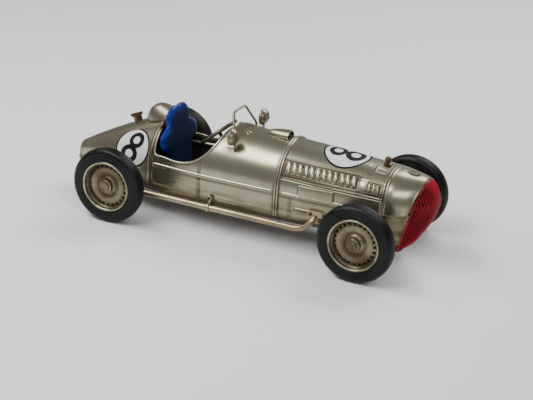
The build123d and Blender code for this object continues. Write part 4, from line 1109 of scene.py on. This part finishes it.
strap = lathe("strap", [(-1.5, PIPE_R + 0.05), (-1.5, PIPE_R + 0.6), (-1.1, PIPE_R + 0.85),
                        (1.1, PIPE_R + 0.85), (1.5, PIPE_R + 0.6), (1.5, PIPE_R + 0.05)], 48)
place(facing_x(strap), CLAMP_X, PIPE_Y, PIPE_Z)
tab_corners = [(x, y, z) for x in (-19.3, -16.7) for y in (-36.4, -34.6) for z in (22.6, 27.5)]
tab = make_object("tab", tab_corners,
                  [(0, 1, 3, 2), (4, 6, 7, 5), (0, 4, 5, 1), (2, 3, 7, 6), (1, 5, 7, 3), (0, 2, 6, 4)])
bevel(tab, 0.35)
eye = lathe("eye", [(-1.1, 1.0), (-1.25, 1.3), (-1.25, 2.0), (-0.9, 2.35), (0.8, 2.35), (0.8, 1.0),
                    (-1.1, 1.0)], 40)
place(eye, CLAMP_X, -35.9, 28.4)
done(join("exhaust_strap", [strap, tab, eye]), "car", "pipe", PIPE, "exhaust_clamp")

# Headrest: a dome that settles into the tail
HEADREST = [(-95.6, 0.4, 1.0), (-95.0, 2.0, 4.0), (-93.0, 5.4, 8.4), (-89.0, 8.8, 13.0),
            (-83.0, 10.6, 15.4), (-77.0, 11.0, 15.0), (-71.0, 10.4, 13.6)]
xs = np.linspace(-95.6, -71.5, 90)[:, None]
half, tall = stations(HEADREST)(xs[:, 0]).T
a = np.linspace(-math.pi / 2, math.pi / 2, 100)[None]
pts = np.stack([xs + 0 * a, half[:, None] * np.sin(a), 70 + tall[:, None] * np.cos(a)], -1)
X, Y, Z = np.moveaxis(pts, -1, 0)
top, crease_y, crease_z = np.moveaxis(tail_at(np.minimum(X, TAIL_SEAM)), -1, 0)[:3]
over = Z - (top - (top - crease_z) * np.clip(np.abs(Y) / crease_y, 0, 1) ** 2.3)
grime_and_shade = 0.95 * smoothstep(2.6, 0.4, over) + 0.2
pressing("headrest_dome", pts, 0.25 * smoothstep(1.6, 0.6, over), grime_and_shade, "headrest")

# ---- seat
SEAT_OUTLINE = [
    (18.5, 26.8), (18.2, 38), (18.8, 48), (22.0, 52.6), (27.0, 56), (29.0, 60.5), (27.8, 65.4),
    (22.8, 69.2), (17.8, 72), (15.2, 76.5), (15.6, 81.3), (12.2, 85), (6, 86.8), (0, 86.4),
]
SEAT_X, SEAT_Z, SEAT_LEAN = -66.2, 56, math.tan(math.radians(5))


def seat_back():
    """A padded, lobed back that leans, with a swell in each lobe and a rolled edge; its front face is
    marked for painted shade.
    """
    right = np.array(SEAT_OUTLINE, float)
    left = right[::-1][1:] * [-1, 1]
    base = np.array([(-15, 26.3), (0, 26.2), (15, 26.3)], float)
    outline = resample(np.vstack([right, left, base]), 260, closed=True)
    centre = np.array([0, 58.0])
    rings = 1 - np.linspace(1, 0, 46) ** 1.7
    layers, shade = [], []
    for facing in (1, -1):
        for t in rings if facing > 0 else rings[::-1]:
            ring = centre + (outline - centre) * max(t, 0.004)
            plump = np.sqrt(max(1 - t**9, 0))
            swell = 0.5 * near(ring[:, 1] - 79, 6) + 0.5 * near(ring[:, 1] - 61, 9)
            x = SEAT_X - (ring[:, 1] - SEAT_Z) * SEAT_LEAN + facing * (3.2 + swell) * plump
            layers.append(np.stack([x, ring[:, 0], ring[:, 1]], -1))
            # The front face is marked for painted shade, fading out towards the rolled edge.
            shade.append(np.full(len(ring), float(smoothstep(0.97, 0.8, t)) if facing > 0 else 0.0))
    pts = np.stack(layers, 0)
    obj = grid_mesh("seat_back_padded", pts, wrap_cols=True)
    set_grime_and_shade(obj, np.stack(shade, 0))
    return mend(obj, 1e-5)


def seat_base():
    """A padded cushion, crowned, with channels from front to back."""
    lo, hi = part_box("seat_cushion")
    lo, hi = np.array(lo) / MM, np.array(hi) / MM
    mid, half = (lo + hi) / 2, (hi - lo) / 2
    a = np.linspace(0, 2 * math.pi, 200, endpoint=False)
    b = np.linspace(-math.pi / 2, math.pi / 2, 60)

    def power(value, p):
        return np.sign(value) * np.abs(value) ** p

    cx = power(np.cos(a), 0.35)[:, None] * power(np.cos(b), 0.5)[None]
    cy = power(np.sin(a), 0.35)[:, None] * power(np.cos(b), 0.5)[None]
    cz = power(np.sin(b), 0.6)[None] + 0 * cx
    pts = np.stack([mid[0] + half[0] * cx, mid[1] + half[1] * cy, mid[2] + half[2] * cz], -1)
    dip = 0.9 * (1 - np.abs(np.cos(math.pi * pts[..., 1] / 6.6)) ** 0.5) * (cz > 0.3)
    pts[..., 2] -= dip
    return mend(grid_mesh("seat_cushion_padded", pts, wrap_rows=True))


back = done(seat_back(), "car", "seat", BLUE, "seat_back")
cushion = done(seat_base(), "car", "seat", BLUE, "seat_cushion")

# ---- floor, light and camera
REACH = 6000
floor = make_object("floor", [(-REACH, -REACH, 0), (REACH, -REACH, 0), (REACH, REACH, 0),
                              (-REACH, REACH, 0)], [(0, 1, 2, 3)], smooth=False)
paper = Shader("paper")
cloud = paper.span(paper.noise(3), 0.3, 0.7)
paper.set(color=paper.mix(cloud, rgb(0.80, 0.80, 0.805), rgb(0.82, 0.82, 0.825)), roughness=0.9,
          specular=0.15)
floor.data.materials.append(paper.material)

world = bpy.data.worlds.new("studio")
world.use_nodes = True
world.node_tree.nodes["Background"].inputs[0].default_value = (0.80, 0.81, 0.83, 1)
world.node_tree.nodes["Background"].inputs[1].default_value = 0.30
bpy.context.scene.world = world


def lamp(name, x, y, z, width, depth, power):
    """A soft rectangular studio light, aimed at the middle of the car."""
    data = bpy.data.lights.new(name, "AREA")
    data.shape = "RECTANGLE"
    data.size, data.size_y, data.energy = width * MM, depth * MM, power
    obj = in_scene(name, data)
    obj.location = Vector((x, y, z)) * MM
    aim = Vector((0, 0, 40)) * MM - obj.location
    obj.rotation_euler = aim.to_track_quat("-Z", "Y").to_euler()


lamp("top_light", -430, -400, 900, 1100, 380, 13.0)
lamp("back_light", 300, 800, 900, 900, 500, 11.0)
lamp("front_light", 500, -900, 800, 500, 400, 3.0)

EYE = Vector((471.54, -1008.4, 487.95)) * MM
FORWARD = Vector((-0.37976, 0.83958, -0.38845))
UP = Vector((-0.20912, 0.33112, 0.92012))
FOCAL_PX, WIDTH_PX, SENSOR = 1484.6, 533, 36
lens = bpy.data.cameras.new("camera")
lens.sensor_width = SENSOR
lens.lens = SENSOR * FOCAL_PX / WIDTH_PX
lens.clip_start, lens.clip_end = 0.01, 50
camera = in_scene("camera", lens)
right = FORWARD.cross(UP).normalized()
UP = right.cross(FORWARD).normalized()
turn = Matrix((right, UP, -FORWARD)).transposed().to_4x4()
camera.matrix_world = Matrix.Translation(EYE) @ turn
bpy.context.scene.camera = camera
